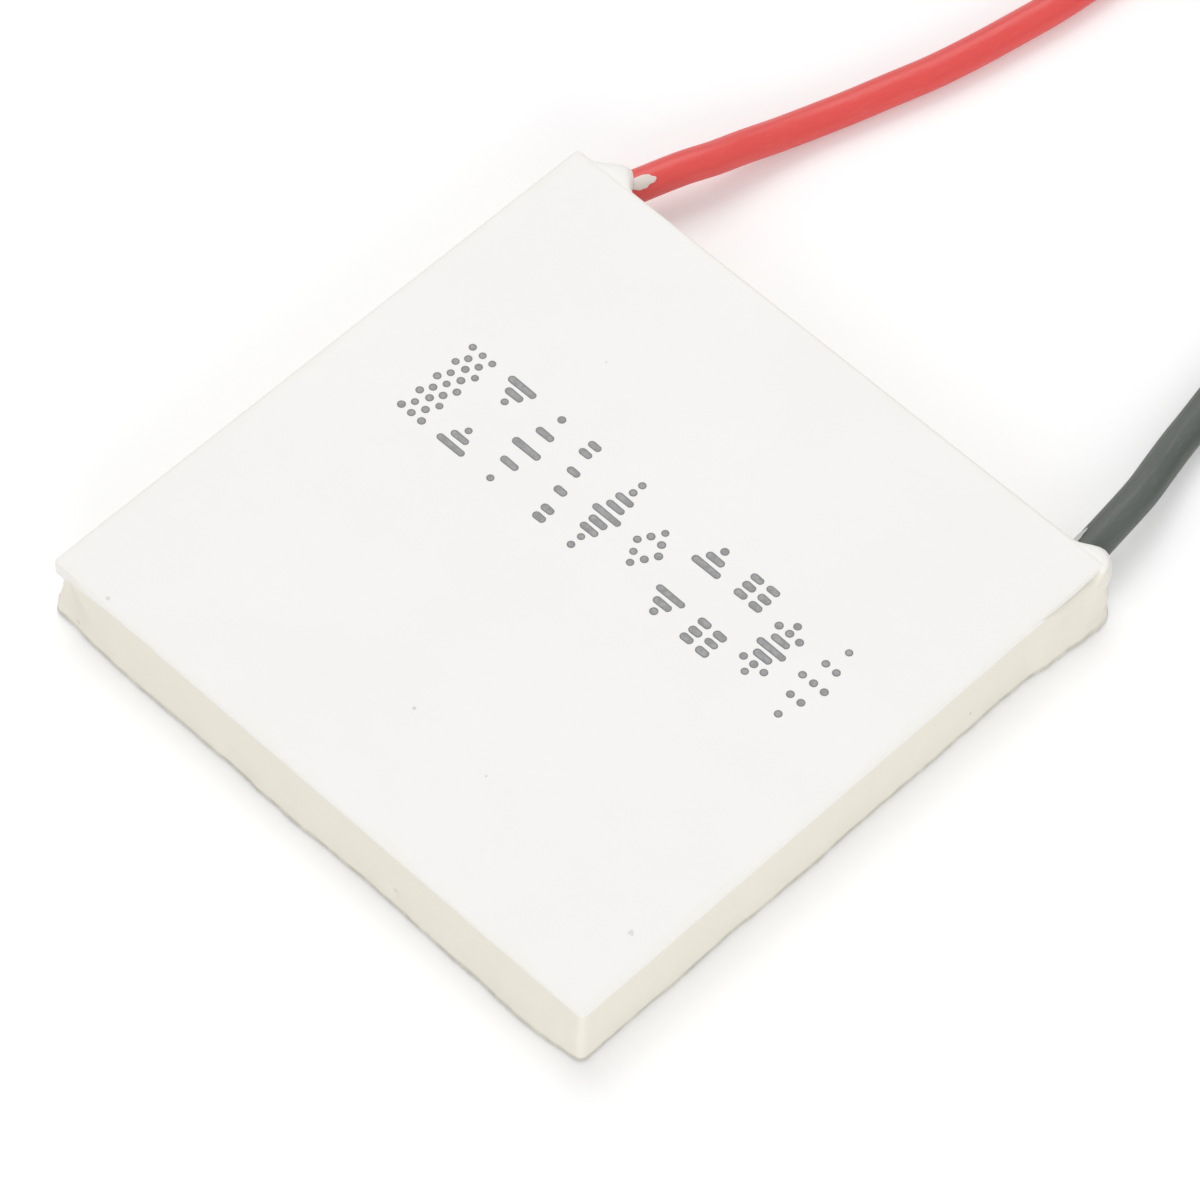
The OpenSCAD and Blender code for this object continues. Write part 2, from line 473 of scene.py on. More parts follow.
def new_group(
    name: str, inputs: Iterable[tuple[str, str, object]], outputs: Iterable[tuple[str, str]]
) -> tuple[Sheet, Sockets, bpy.types.Node]:
    """Starts a shader node group.

    Args:
        name: Name of the group.
        inputs: Name, kind and value of each input.
        outputs: Name and kind of each output.

    Returns:
        The group's sheet, what it is given, and its output node.
    """
    tree = bpy.data.node_groups.new(name, "ShaderNodeTree")
    for title, kind, value in inputs:
        socket = tree.interface.new_socket(name=title, in_out="INPUT", socket_type=f"NodeSocket{kind}")
        if value is not None:
            socket.default_value = value
    for title, kind in outputs:
        tree.interface.new_socket(name=title, in_out="OUTPUT", socket_type=f"NodeSocket{kind}")
    return Sheet(tree), tree.nodes.new("NodeGroupInput").outputs, tree.nodes.new("NodeGroupOutput")


@dataclass(frozen=True)
class Specks:
    """What a surface's specks are like.

    Attributes:
        cells: Cells per metre, each of which may hold one.
        size: Radius of a speck, as a share of a cell.
        share: Share of the cells that hold one.
        strength: How much they cover.
        single: How much a single speck at a given place covers.
    """

    cells: float
    size: float
    share: float
    strength: float
    single: float = 0.0


@dataclass
class Effects:
    """The shared surface effects, each built once as a node group.

    Attributes:
        mottle: Cloudy tints and a fine grain.
        specks: Sparse small specks.
        speck_at: One speck at a given place.
        scuffs: Fine streaks along a lead.
    """

    mottle: bpy.types.NodeTree = field(init=False)
    specks: bpy.types.NodeTree = field(init=False)
    speck_at: bpy.types.NodeTree = field(init=False)
    scuffs: bpy.types.NodeTree = field(init=False)

    def __post_init__(self) -> None:
        """Builds the groups."""
        self.mottle = self._mottle()
        self.specks = self._specks()
        self.speck_at = self._speck_at()
        self.scuffs = self._scuffs()

    @staticmethod
    def _mottle() -> bpy.types.NodeTree:
        """Cloudy mixing of two tints, with a grain for bump and roughness.

        Returns:
            The group.
        """
        sheet, given, made = new_group(
            "mottle",
            [
                ("Place", "Vector", None),
                ("Light tint", "Color", (1, 1, 1, 1)),
                ("Dark tint", "Color", (0.8, 0.8, 0.8, 1)),
                ("Cloud scale", "Float", 200.0),
                ("Grain scale", "Float", 6000.0),
            ],
            [("Colour", "Color"), ("Cloud", "Float"), ("Grain", "Float")],
        )
        cloud = sheet.noise(given["Place"], given["Cloud scale"], 4.0, 0.55)
        grain = sheet.noise(given["Place"], given["Grain scale"], 3.0, 0.6)
        share = sheet.ramp(cloud, 0.3, 0.7)
        colour = sheet.mix(share, given["Dark tint"], given["Light tint"])
        sheet.feed(made, {"Colour": colour, "Cloud": share, "Grain": grain})
        return sheet.tree

    @staticmethod
    def _specks() -> bpy.types.NodeTree:
        """Sparse specks, one at most in each cell, in some of the cells.

        Returns:
            The group.
        """
        sheet, given, made = new_group(
            "specks",
            [
                ("Place", "Vector", None),
                ("Cells", "Float", 300.0),
                ("Size", "Float", 0.05),
                ("Share", "Float", 0.2),
            ],
            [("Mask", "Float")],
        )
        pattern = {"Vector": given["Place"], "Scale": given["Cells"], "Randomness": 1.0}
        cells = sheet.add("ShaderNodeTexVoronoi", pattern).outputs
        near = sheet.math("LESS_THAN", cells["Distance"], given["Size"])
        parts = sheet.add("ShaderNodeSeparateColor", {"Color": cells["Color"]}).outputs
        chosen = sheet.math("LESS_THAN", parts["Red"], given["Share"])
        sheet.feed(made, {"Mask": sheet.math("MULTIPLY", near, chosen)})
        return sheet.tree

    @staticmethod
    def _speck_at() -> bpy.types.NodeTree:
        """One ragged speck at a given place.

        Returns:
            The group.
        """
        sheet, given, made = new_group(
            "speck_at",
            [("Place", "Vector", None), ("Middle", "Vector", (0, 0, 0)), ("Radius", "Float", 0.00015)],
            [("Mask", "Float")],
        )
        ends = {0: given["Place"], 1: given["Middle"]}
        away = sheet.add("ShaderNodeVectorMath", ends, operation="DISTANCE").outputs["Value"]
        ragged = sheet.ramp(sheet.noise(given["Place"], 9000.0, 2.0), 0.2, 0.8, 0.6, 1.3)
        reach = sheet.math("MULTIPLY", given["Radius"], ragged)
        sheet.feed(made, {"Mask": sheet.ramp(sheet.math("DIVIDE", away, reach), 1.15, 0.55)})
        return sheet.tree

    @staticmethod
    def _scuffs() -> bpy.types.NodeTree:
        """Fine streaks that run along a lead, from its UV map: U along it in metres, V round it.

        Returns:
            The group.
        """
        sheet, given, made = new_group(
            "scuffs",
            [("Along and round", "Vector", None), ("Along", "Float", 300.0), ("Round", "Float", 14.0)],
            [("Mask", "Float"), ("Grain", "Float")],
        )
        parts = sheet.add("ShaderNodeSeparateXYZ", {"Vector": given["Along and round"]}).outputs
        turn = sheet.math("MULTIPLY", parts["Y"], 2 * math.pi)
        spread = {
            "X": sheet.math("MULTIPLY", parts["X"], given["Along"]),
            "Y": sheet.math("MULTIPLY", sheet.math("COSINE", turn), given["Round"]),
            "Z": sheet.math("MULTIPLY", sheet.math("SINE", turn), given["Round"]),
        }
        where = sheet.add("ShaderNodeCombineXYZ", spread).outputs["Vector"]
        streak = sheet.noise(where, 1.0, 4.0, 0.6)
        sheet.feed(made, {"Mask": sheet.ramp(streak, 0.52, 0.72), "Grain": streak})
        return sheet.tree

    def clouded(
        self, sheet: Sheet, where: Socket, tints: tuple[Colour, Colour], scales: Span
    ) -> Sockets:
        """Places the mottle in a material.

        Args:
            sheet: The material's sheet.
            where: The place that it reads.
            tints: The lighter and the darker tint.
            scales: Clouds and grains per metre.

        Returns:
            Its colour, cloud and grain.
        """
        light, dark = ((*tint, 1) for tint in tints)
        values = {"Light tint": light, "Dark tint": dark, "Cloud scale": scales[0], "Grain scale": scales[1]}
        return sheet.group(self.mottle, {"Place": where, **values})

    def speckled(self, sheet: Sheet, where: Socket, specks: Specks, marks: Marks = ()) -> Socket:
        """Places scattered specks and single ones in a material.

        Args:
            sheet: The material's sheet.
            where: The place that they read.
            specks: What the specks are like.
            marks: Places of single specks, in millimetres, with their radius.

        Returns:
            The mask of all of them.
        """
        values = {"Place": where, "Cells": specks.cells, "Size": specks.size, "Share": specks.share}
        mask = sheet.math("MULTIPLY", sheet.group(self.specks, values)["Mask"], specks.strength)
        for x, y, z, radius in marks:
            values = {"Place": where, "Middle": metres((x, y, z)), "Radius": radius * MM}
            single = sheet.math("MULTIPLY", sheet.group(self.speck_at, values)["Mask"], specks.single)
            mask = sheet.math("MAXIMUM", mask, single)
        return mask


@dataclass(frozen=True)
class Finish:
    """A finish that a material is made from.

    Attributes:
        title: Name of the material.
        slot: The record's slot that it belongs to; not used.
    """

    title: str
    slot: str

    def looks(self, sheet: Sheet, effects: Effects) -> Values:
        """What feeds the shader's inputs, by name.

        Args:
            sheet: The material's sheet.
            effects: The shared surface effects.

        Returns:
            Values and sockets.
        """
        raise NotImplementedError

    def material(self, effects: Effects) -> bpy.types.Material:
        """Makes the material, round its Principled BSDF.

        Args:
            effects: The shared surface effects.

        Returns:
            The material.
        """
        material = bpy.data.materials.new(self.title)
        material.use_nodes = True
        shader = next(n for n in material.node_tree.nodes if n.type == "BSDF_PRINCIPLED")
        sheet = Sheet(material.node_tree)
        sheet.feed(shader, self.looks(sheet, effects))
        return material


@dataclass(frozen=True)
class Ceramic(Finish):
    """White fired alumina: faint clouds, a fine grain, a few grey specks and wiped silicone on its rim.

    Attributes:
        light: Lighter tint.
        dark: Darker tint.
        haze: Colour of the silicone that was wiped over its rim.
        speck: Colour of the specks.
        specks: What the specks are like.
        marks: Places of single specks, in millimetres, with their radius.
        rim: Where the wiped rim starts and where it is full, from the module's axis.
        wander: How far the rim's line wanders to either side.
        mid_height: Middle of the module's height.
        outer: Where the outer faces' rim starts and is full, from that middle.
        cover: How much the haze covers.
    """

    light: Colour = (0.945, 0.929, 0.912)
    dark: Colour = (0.93, 0.914, 0.896)
    haze: Colour = (0.915, 0.895, 0.835)
    speck: Colour = (0.30, 0.28, 0.27)
    specks: Specks = Specks(cells=260.0, size=0.028, share=0.16, strength=0.35, single=0.28)
    marks: Marks = ()
    rim: Span = (14.62, 15.0)
    wander: float = 0.16
    mid_height: float = 1.75
    outer: Span = (1.5, 1.7)
    cover: float = 0.75

    def looks(self, sheet: Sheet, effects: Effects) -> Values:
        """What feeds the shader.

        Args:
            sheet: The material's sheet.
            effects: The shared surface effects.

        Returns:
            Values and sockets for the shader.
        """
        where = sheet.place()
        mottle = effects.clouded(sheet, where, (self.light, self.dark), (170.0, 9000.0))
        mask = effects.speckled(sheet, where, self.specks, self.marks)
        parts = sheet.add("ShaderNodeSeparateXYZ", {"Vector": where}).outputs
        out = sheet.math("MAXIMUM", sheet.math("ABSOLUTE", parts["X"]), sheet.math("ABSOLUTE", parts["Y"]))
        wiped = sheet.ramp(sheet.noise(where, 700.0), 0.25, 0.75, -self.wander * MM, self.wander * MM)
        start, full = self.rim
        rim = sheet.ramp(sheet.math("ADD", out, wiped), start * MM, full * MM, 0.0, self.cover)
        away = sheet.math("ABSOLUTE", sheet.math("SUBTRACT", parts["Z"], self.mid_height * MM))
        start, full = self.outer
        rim = sheet.math("MULTIPLY", rim, sheet.ramp(away, start * MM, full * MM))
        colour = sheet.mix(rim, mottle["Colour"], self.haze)
        return {
            "Base Color": sheet.mix(mask, colour, self.speck),
            "Roughness": sheet.ramp(mottle["Grain"], 0.2, 0.8, 0.5, 0.66),
            "Normal": sheet.bump(mottle["Grain"], 0.004),
            "Specular IOR Level": 0.35,
        }


@dataclass(frozen=True)
class Silicone(Finish):
    """Cream silicone: satin, faintly clouded, white where wiped thin; dust and painted shade darken its foot,
    painted shade its creases.

    Attributes:
        light: Lighter tint.
        dark: Darker tint.
        film: Colour where it is a thin film over the ceramic.
        dust_and_shade: Colour of the dust and the painted shade at its foot, also used for the painted shade
            in its creases.
        dust_and_shade_to: Height where the dust and the painted shade at the foot end, in millimetres.
        cover: How much the dust and the painted shade at the foot cover.
        speck: Colour of the specks.
        specks: What the specks are like.
        marks: Places of single specks, in millimetres, with their radius.
    """

    light: Colour = (0.87, 0.83, 0.735)
    dark: Colour = (0.845, 0.81, 0.71)
    film: Colour = (0.93, 0.915, 0.88)
    dust_and_shade: Colour = (0.50, 0.485, 0.43)
    dust_and_shade_to: float = 0.46
    cover: float = 0.8
    speck: Colour = (0.36, 0.34, 0.28)
    specks: Specks = Specks(cells=330.0, size=0.03, share=0.12, strength=0.4, single=0.3)
    marks: Marks = ()

    def looks(self, sheet: Sheet, effects: Effects) -> Values:
        """What feeds the shader.

        Args:
            sheet: The material's sheet.
            effects: The shared surface effects.

        Returns:
            Values and sockets for the shader.
        """
        where = sheet.place()
        mottle = effects.clouded(sheet, where, (self.light, self.dark), (420.0, 2600.0))
        ragged = sheet.ramp(sheet.noise(where, 900.0), 0.2, 0.8, -0.3, 0.3)
        film = sheet.attribute("film")
        thin = sheet.ramp(sheet.math("ADD", film, sheet.math("MULTIPLY", ragged, film)), 0.1, 0.9)
        colour = sheet.mix(thin, mottle["Colour"], self.film)
        height = sheet.add("ShaderNodeSeparateXYZ", {"Vector": where}).outputs["Z"]
        # dust and painted shade at the foot, darker towards the bottom; painted shade in the creases joins it
        # below
        dust_and_shade_share = sheet.ramp(height, self.dust_and_shade_to * MM, self.dust_and_shade_to / 2 * MM, 0.0, self.cover)
        patchy = sheet.ramp(sheet.noise(where, 1500.0), 0.25, 0.7, 0.45, 1.0)
        painted_shade = sheet.math("MULTIPLY", film, -1.0)  # a film below 0 is painted shade in a crease
        dust_and_shade_share = sheet.math("MAXIMUM", sheet.math("MULTIPLY", dust_and_shade_share, patchy), painted_shade, clamp=True)
        colour = sheet.mix(dust_and_shade_share, colour, self.dust_and_shade)
        mask = effects.speckled(sheet, where, self.specks, self.marks)
        return {
            "Base Color": sheet.mix(mask, colour, self.speck),
            "Roughness": sheet.ramp(mottle["Cloud"], 0.0, 1.0, 0.46, 0.6),
            "Normal": sheet.bump(mottle["Grain"], 0.02),
            "Specular IOR Level": 0.4,
        }


@dataclass(frozen=True)
class Insulation(Finish):
    """Soft PVC insulation: satin, with faint lengthwise streaks, scuffs and pale specks.

    Attributes:
        base: Colour.
        worn: Colour where it is scuffed.
        speck: Colour of the specks.
        roughness: Roughness between scuffs.
        streaks, fine: Streaks and fine streaks per metre along the lead, and how many go round it.
        specks: What the specks are like.
    """

    base: Colour = (0.765, 0.064, 0.057)
    worn: Colour = (0.8, 0.125, 0.115)
    speck: Colour = (0.85, 0.6, 0.4)
    roughness: float = 0.36
    streaks: Span = (260.0, 2.6)
    fine: Span = (1500.0, 5.0)
    specks: Specks = Specks(cells=420.0, size=0.05, share=0.1, strength=0.8)

    def looks(self, sheet: Sheet, effects: Effects) -> Values:
        """What feeds the shader.

        Args:
            sheet: The material's sheet.
            effects: The shared surface effects.

        Returns:
            Values and sockets for the shader.
        """
        run = sheet.add("ShaderNodeUVMap", uv_map="run").outputs["UV"]
        where = sheet.place()
        streaks, fine = (
            sheet.group(effects.scuffs, {"Along and round": run, "Along": along, "Round": round_it})
            for along, round_it in (self.streaks, self.fine)
        )
        colour = sheet.mix(sheet.math("MULTIPLY", streaks["Mask"], 0.5), self.base, self.worn)
        colour = sheet.mix(sheet.math("MULTIPLY", fine["Mask"], 0.25), colour, self.worn)
        low, high = self.roughness - 0.05, self.roughness + 0.14
        return {
            "Base Color": sheet.mix(effects.speckled(sheet, where, self.specks), colour, self.speck),
            "Roughness": sheet.ramp(streaks["Grain"], 0.3, 0.8, low, high),
            "Normal": sheet.bump(fine["Grain"], 0.012),
            "Specular IOR Level": 0.62,
        }


@dataclass(frozen=True)
class Metal(Finish):
    """A bare metal with clouded tints and a fine brushed or grainy surface.

    Attributes:
        light: Lighter tint.
        dark: Darker tint.
        cloud_scale: Clouds per metre.
        grain_scale: Grains per metre, along X, Y and Z.
        roughness: Lowest and highest roughness.
        relief: Depth of the grain, in millimetres.
    """

    light: Colour = (0.8, 0.8, 0.8)
    dark: Colour = (0.6, 0.6, 0.6)
    cloud_scale: float = 500.0
    grain_scale: tuple[float, float, float] = (1.0, 1.0, 1.0)
    roughness: Span = (0.25, 0.45)
    relief: float = 0.01

    def looks(self, sheet: Sheet, effects: Effects) -> Values:
        """What feeds the shader.

        Args:
            sheet: The material's sheet.
            effects: The shared surface effects.

        Returns:
            Values and sockets for the shader.
        """
        where = sheet.place()
        drawn = sheet.add("ShaderNodeMapping", {"Vector": where, "Scale": self.grain_scale}).outputs[0]
        scales = (self.cloud_scale, self.cloud_scale * 9)
        mottle = effects.clouded(sheet, drawn, (self.light, self.dark), scales)
        return {
            "Base Color": mottle["Colour"],
            "Roughness": sheet.ramp(mottle["Grain"], 0.3, 0.7, *self.roughness),
            "Normal": sheet.bump(mottle["Grain"], self.relief),
            "Metallic": 1.0,
        }


@dataclass(frozen=True)
class Plastic(Finish):
    """A satin plastic ribbon, creased and slightly scuffed.

    Attributes:
        light: Lighter tint.
        dark: Darker tint.
    """

    light: Colour = (0.052, 0.054, 0.056)
    dark: Colour = (0.034, 0.036, 0.038)

    def looks(self, sheet: Sheet, effects: Effects) -> Values:
        """What feeds the shader.

        Args:
            sheet: The material's sheet.
            effects: The shared surface effects.

        Returns:
            Values and sockets for the shader.
        """
        mottle = effects.clouded(sheet, sheet.place(), (self.light, self.dark), (900.0, 5000.0))
        return {
            "Base Color": mottle["Colour"],
            "Roughness": sheet.ramp(mottle["Grain"], 0.2, 0.8, 0.32, 0.5),
            "Normal": sheet.bump(mottle["Grain"], 0.01),
        }


@dataclass(frozen=True)
class Ink(Finish):
    """Grey marking ink, darker at the rim of each dot where it dried last.

    Attributes:
        body: Colour inside a dot.
        thick: Colour inside a dot where the ink is thicker.
        rim: Colour at its rim.
    """

    body: Colour = (0.40, 0.40, 0.405)
    thick: Colour = (0.25, 0.25, 0.255)
    rim: Colour = (0.19, 0.19, 0.195)

    def looks(self, sheet: Sheet, effects: Effects) -> Values:
        """What feeds the shader.

        Args:
            sheet: The material's sheet.
            effects: The shared surface effects.

        Returns:
            Values and sockets for the shader.
        """
        where = sheet.place()
        edge = sheet.attribute("rim")
        mottle = effects.clouded(sheet, where, (self.body, self.thick), (5000.0, 16000.0))
        share = sheet.math("MULTIPLY", edge, sheet.ramp(mottle["Grain"], 0.2, 0.7, 0.55, 1.0))
        return {
            "Base Color": sheet.mix(share, mottle["Colour"], self.rim),
            "Roughness": sheet.ramp(mottle["Cloud"], 0.0, 1.0, 0.5, 0.7),
            "Normal": sheet.bump(mottle["Grain"], 0.003),
        }


@dataclass
class Wardrobe:
    """Every finish of the module, each made a material once.

    Attributes:
        effects: The shared surface effects.
        made: The materials made so far, by title.
    """

    effects: Effects = field(default_factory=Effects)
    made: dict[str, bpy.types.Material] = field(default_factory=dict)

    def dress(self, obj: bpy.types.Object, finish: Finish) -> None:
        """Gives a piece its only material.

        Args:
            obj: The piece.
            finish: Its finish.
        """
        if finish.title not in self.made:
            self.made[finish.title] = finish.material(self.effects)
        obj.data.materials.clear()
        obj.data.materials.append(self.made[finish.title])


COLD_CERAMIC = Ceramic(
    "cold_side_alumina",
    "cold_ceramic",
    marks=(
        (-12.1, -14.7, 3.5, 0.12),
        (13.7, -11.0, 3.5, 0.15),
        (4.6, -9.9, 3.5, 0.07),
        (-6.3, 7.9, 3.5, 0.06),
    ),
)
HOT_CERAMIC = Ceramic("hot_side_alumina", "hot_ceramic", light=(0.93, 0.917, 0.9), dark=(0.905, 0.895, 0.875))
SEALANT = Silicone(
    "cream_silicone",
    "sealant",
    marks=((15.3, 13.4, 2.3, 0.1), (4.8, -15.15, 1.1, 0.12), (-13.55, -15.1, 0.75, 0.16)),
)
RED_SMEAR = Silicone("silicone_smear_on_red", "sealant", light=(0.84, 0.78, 0.72), dark=(0.80, 0.70, 0.65))
GREY_SMEAR = Silicone("silicone_smear_on_black", "sealant", light=(0.60, 0.61, 0.59), dark=(0.42, 0.43, 0.42))
RED_PVC = Insulation("red_pvc", "red_insulation")
BLACK_PVC = Insulation(
    "black_pvc",
    "black_insulation",
    base=(0.078, 0.09, 0.081),
    worn=(0.15, 0.155, 0.14),
    speck=(0.34, 0.34, 0.3),
    roughness=0.5,
)
COPPER = Metal(
    "copper_tab", "copper", light=(0.86, 0.50, 0.33), dark=(0.66, 0.34, 0.21),
    cloud_scale=450.0, grain_scale=(0.35, 2.2, 1.0), roughness=(0.28, 0.5), relief=0.006,
)  # fmt: skip
N_PELLET = Metal(
    "n_telluride", "n_pellet", light=(0.44, 0.45, 0.47), dark=(0.26, 0.27, 0.29),
    cloud_scale=900.0, grain_scale=(1.6, 1.6, 0.35), roughness=(0.35, 0.6), relief=0.02,
)  # fmt: skip
P_PELLET = replace(
    N_PELLET, title="p_telluride", slot="p_pellet", light=(0.50, 0.47, 0.44), dark=(0.31, 0.285, 0.265)
)
SOLDER = Metal(
    "solder", "solder", light=(0.78, 0.78, 0.79), dark=(0.58, 0.58, 0.6),
    cloud_scale=1100.0, roughness=(0.18, 0.42), relief=0.012,
)  # fmt: skip
TINNED = Metal(
    "tinned_strands", "tinned_wire", light=(0.66, 0.65, 0.63), dark=(0.48, 0.465, 0.44),
    cloud_scale=1300.0, roughness=(0.22, 0.46), relief=0.008,
)  # fmt: skip
INK = Ink("grey_marking_ink", "cold_ceramic")
TIE_RIBBON = Plastic("tie_ribbon", "black_insulation")


# --- Camera, stage and light ----------------------------------------------------------------------


@dataclass
class Viewpoint:
    """The camera, looking down on the module from over its front right corner.

    Attributes:
        place: Where it stands, in millimetres.
        azimuth: Direction round the module, in degrees.
        elevation: Height above the horizon, in degrees.
        roll: How far it leans to its side, in degrees.
        lens: Focal length.
        sensor: Width of the sensor.
    """

    place: Point = (101.3959, -106.1813, 215.8728)
    azimuth: float = 43.3490
    elevation: float = 55.6699
    roll: float = 1.5818
    lens: float = 192.042
    sensor: float = 36.0

    def build(self) -> None:
        """Makes the camera and sets it as the scene's."""
        az, el, roll = (math.radians(a) for a in (self.azimuth, self.elevation, self.roll))
        back = Vector((math.sin(az) * math.cos(el), -math.cos(az) * math.cos(el), math.sin(el)))
        right = (-back).cross(Vector((0, 0, 1))).normalized()
        up = back.cross(right)
        right, up = right * math.cos(roll) + up * math.sin(roll), up * math.cos(roll) - right * math.sin(roll)
        data = bpy.data.cameras.new("camera")
        data.lens = self.lens
        data.sensor_width = self.sensor
        data.clip_start, data.clip_end = 0.01, 20.0
        camera = bpy.data.objects.new("camera", data)
        bpy.context.scene.collection.objects.link(camera)
        matrix = Matrix((right, up, back)).transposed().to_4x4()
        matrix.translation = metres(self.place)
        camera.matrix_world = matrix
        bpy.context.scene.camera = camera


@dataclass
class Studio:
    """A plain pale floor, a white surround and soft lamps.

    Attributes:
        floor_size: Side of the floor, in metres.
        clear: How far the floor lies below the hot side's face, so that the two stay apart.
        surround: Strength of the surround's light.
        plain: The floor's grey for the light that it throws back on the module.
        white: The floor's grey where it is seen.
        lift: Light that the floor adds where it is seen, so that it shows white.
        lamps: Name, place in metres, size in metres and power in watts of each lamp.
    """

    floor_size: float = 6.0
    clear: float = 2e-5
    surround: float = 0.6
    plain: float = 0.86
    white: float = 0.93
    lift: float = 0.16
    lamps: tuple[tuple[str, Point, float, float], ...] = (
        ("key", (-0.35, 0.25, 0.75), 0.55, 2.45),
        ("fill", (0.7, -0.62, 0.34), 0.6, 3.55),
    )

    def build(self) -> None:
        """Makes the floor, the surround and the lamps, and sets the view transform."""
        bpy.context.scene.view_settings.view_transform = "Standard"
        self._floor()
        self._surround()
        for name, place, size, power in self.lamps:
            self._lamp(name, place, size, power)

    @staticmethod
    def _seen_ray(sheet: Sheet) -> Socket:
        """1 where the camera, a gloss or a clear piece looks at the surface.

        Args:
            sheet: The material's or the world's sheet.

        Returns:
            The mask.
        """
        path = sheet.add("ShaderNodeLightPath").outputs
        either = sheet.math("MAXIMUM", path["Is Camera Ray"], path["Is Glossy Ray"])
        return sheet.math("MAXIMUM", either, path["Is Transmission Ray"])

    def _floor(self) -> None:
        """Makes the floor: white where it is seen, with the module's shadow on it."""
        deselect_all()
        bpy.ops.mesh.primitive_plane_add(size=self.floor_size, location=(0, 0, -self.clear))
        floor = Workpiece.from_active("studio_floor").obj
        material = bpy.data.materials.new("pale_floor")
        material.use_nodes = True
        sheet = Sheet(material.node_tree)
        material.node_tree.nodes.clear()
        plain, white = (
            sheet.add("ShaderNodeBsdfDiffuse", {"Color": (grey, grey, grey, 1)})
            for grey in (self.plain, self.white)
        )
        lift = sheet.add("ShaderNodeEmission", {"Color": (1, 1, 1, 1), "Strength": self.lift})
        seen = sheet.add("ShaderNodeAddShader", {0: white.outputs[0], 1: lift.outputs[0]})
        either = {0: self._seen_ray(sheet), 1: plain.outputs[0], 2: seen.outputs[0]}
        mix = sheet.add("ShaderNodeMixShader", either)
        sheet.add("ShaderNodeOutputMaterial", {"Surface": mix.outputs[0]})
        floor.data.materials.append(material)

    def _surround(self) -> None:
        """Makes the surround: white where it is seen, at its own strength as a light."""
        world = bpy.data.worlds.new("white_surround")
        world.use_nodes = True
        sheet = Sheet(world.node_tree)
        world.node_tree.nodes.clear()
        strength = sheet.ramp(self._seen_ray(sheet), 0.0, 1.0, self.surround, 1.0)
        back = sheet.add("ShaderNodeBackground", {"Color": (1, 1, 1, 1), "Strength": strength})
        sheet.add("ShaderNodeOutputWorld", {"Surface": back.outputs[0]})
        bpy.context.scene.world = world

    @staticmethod
    def _lamp(name: str, place: Point, size: float, power: float) -> None:
        """Makes one soft square lamp that faces the module.

        Args:
            name: Its name.
            place: Where it stands, in metres.
            size: Its side, in metres.
            power: Its power, in watts.
        """
        data = bpy.data.lights.new(name, "AREA")
        data.shape, data.size, data.energy = "SQUARE", size, power
        lamp = bpy.data.objects.new(name, data)
        bpy.context.scene.collection.objects.link(lamp)
        lamp.location = place
        lamp.rotation_euler = (-Vector(place)).to_track_quat("-Z", "Y").to_euler()
        lamp.visible_camera = False


# --- Leads ----------------------------------------------------------------------------------------


class LeadColour(Enum):
    """The two leads, and the start of the names of their pieces."""

    RED = "red"
    BLACK = "black"


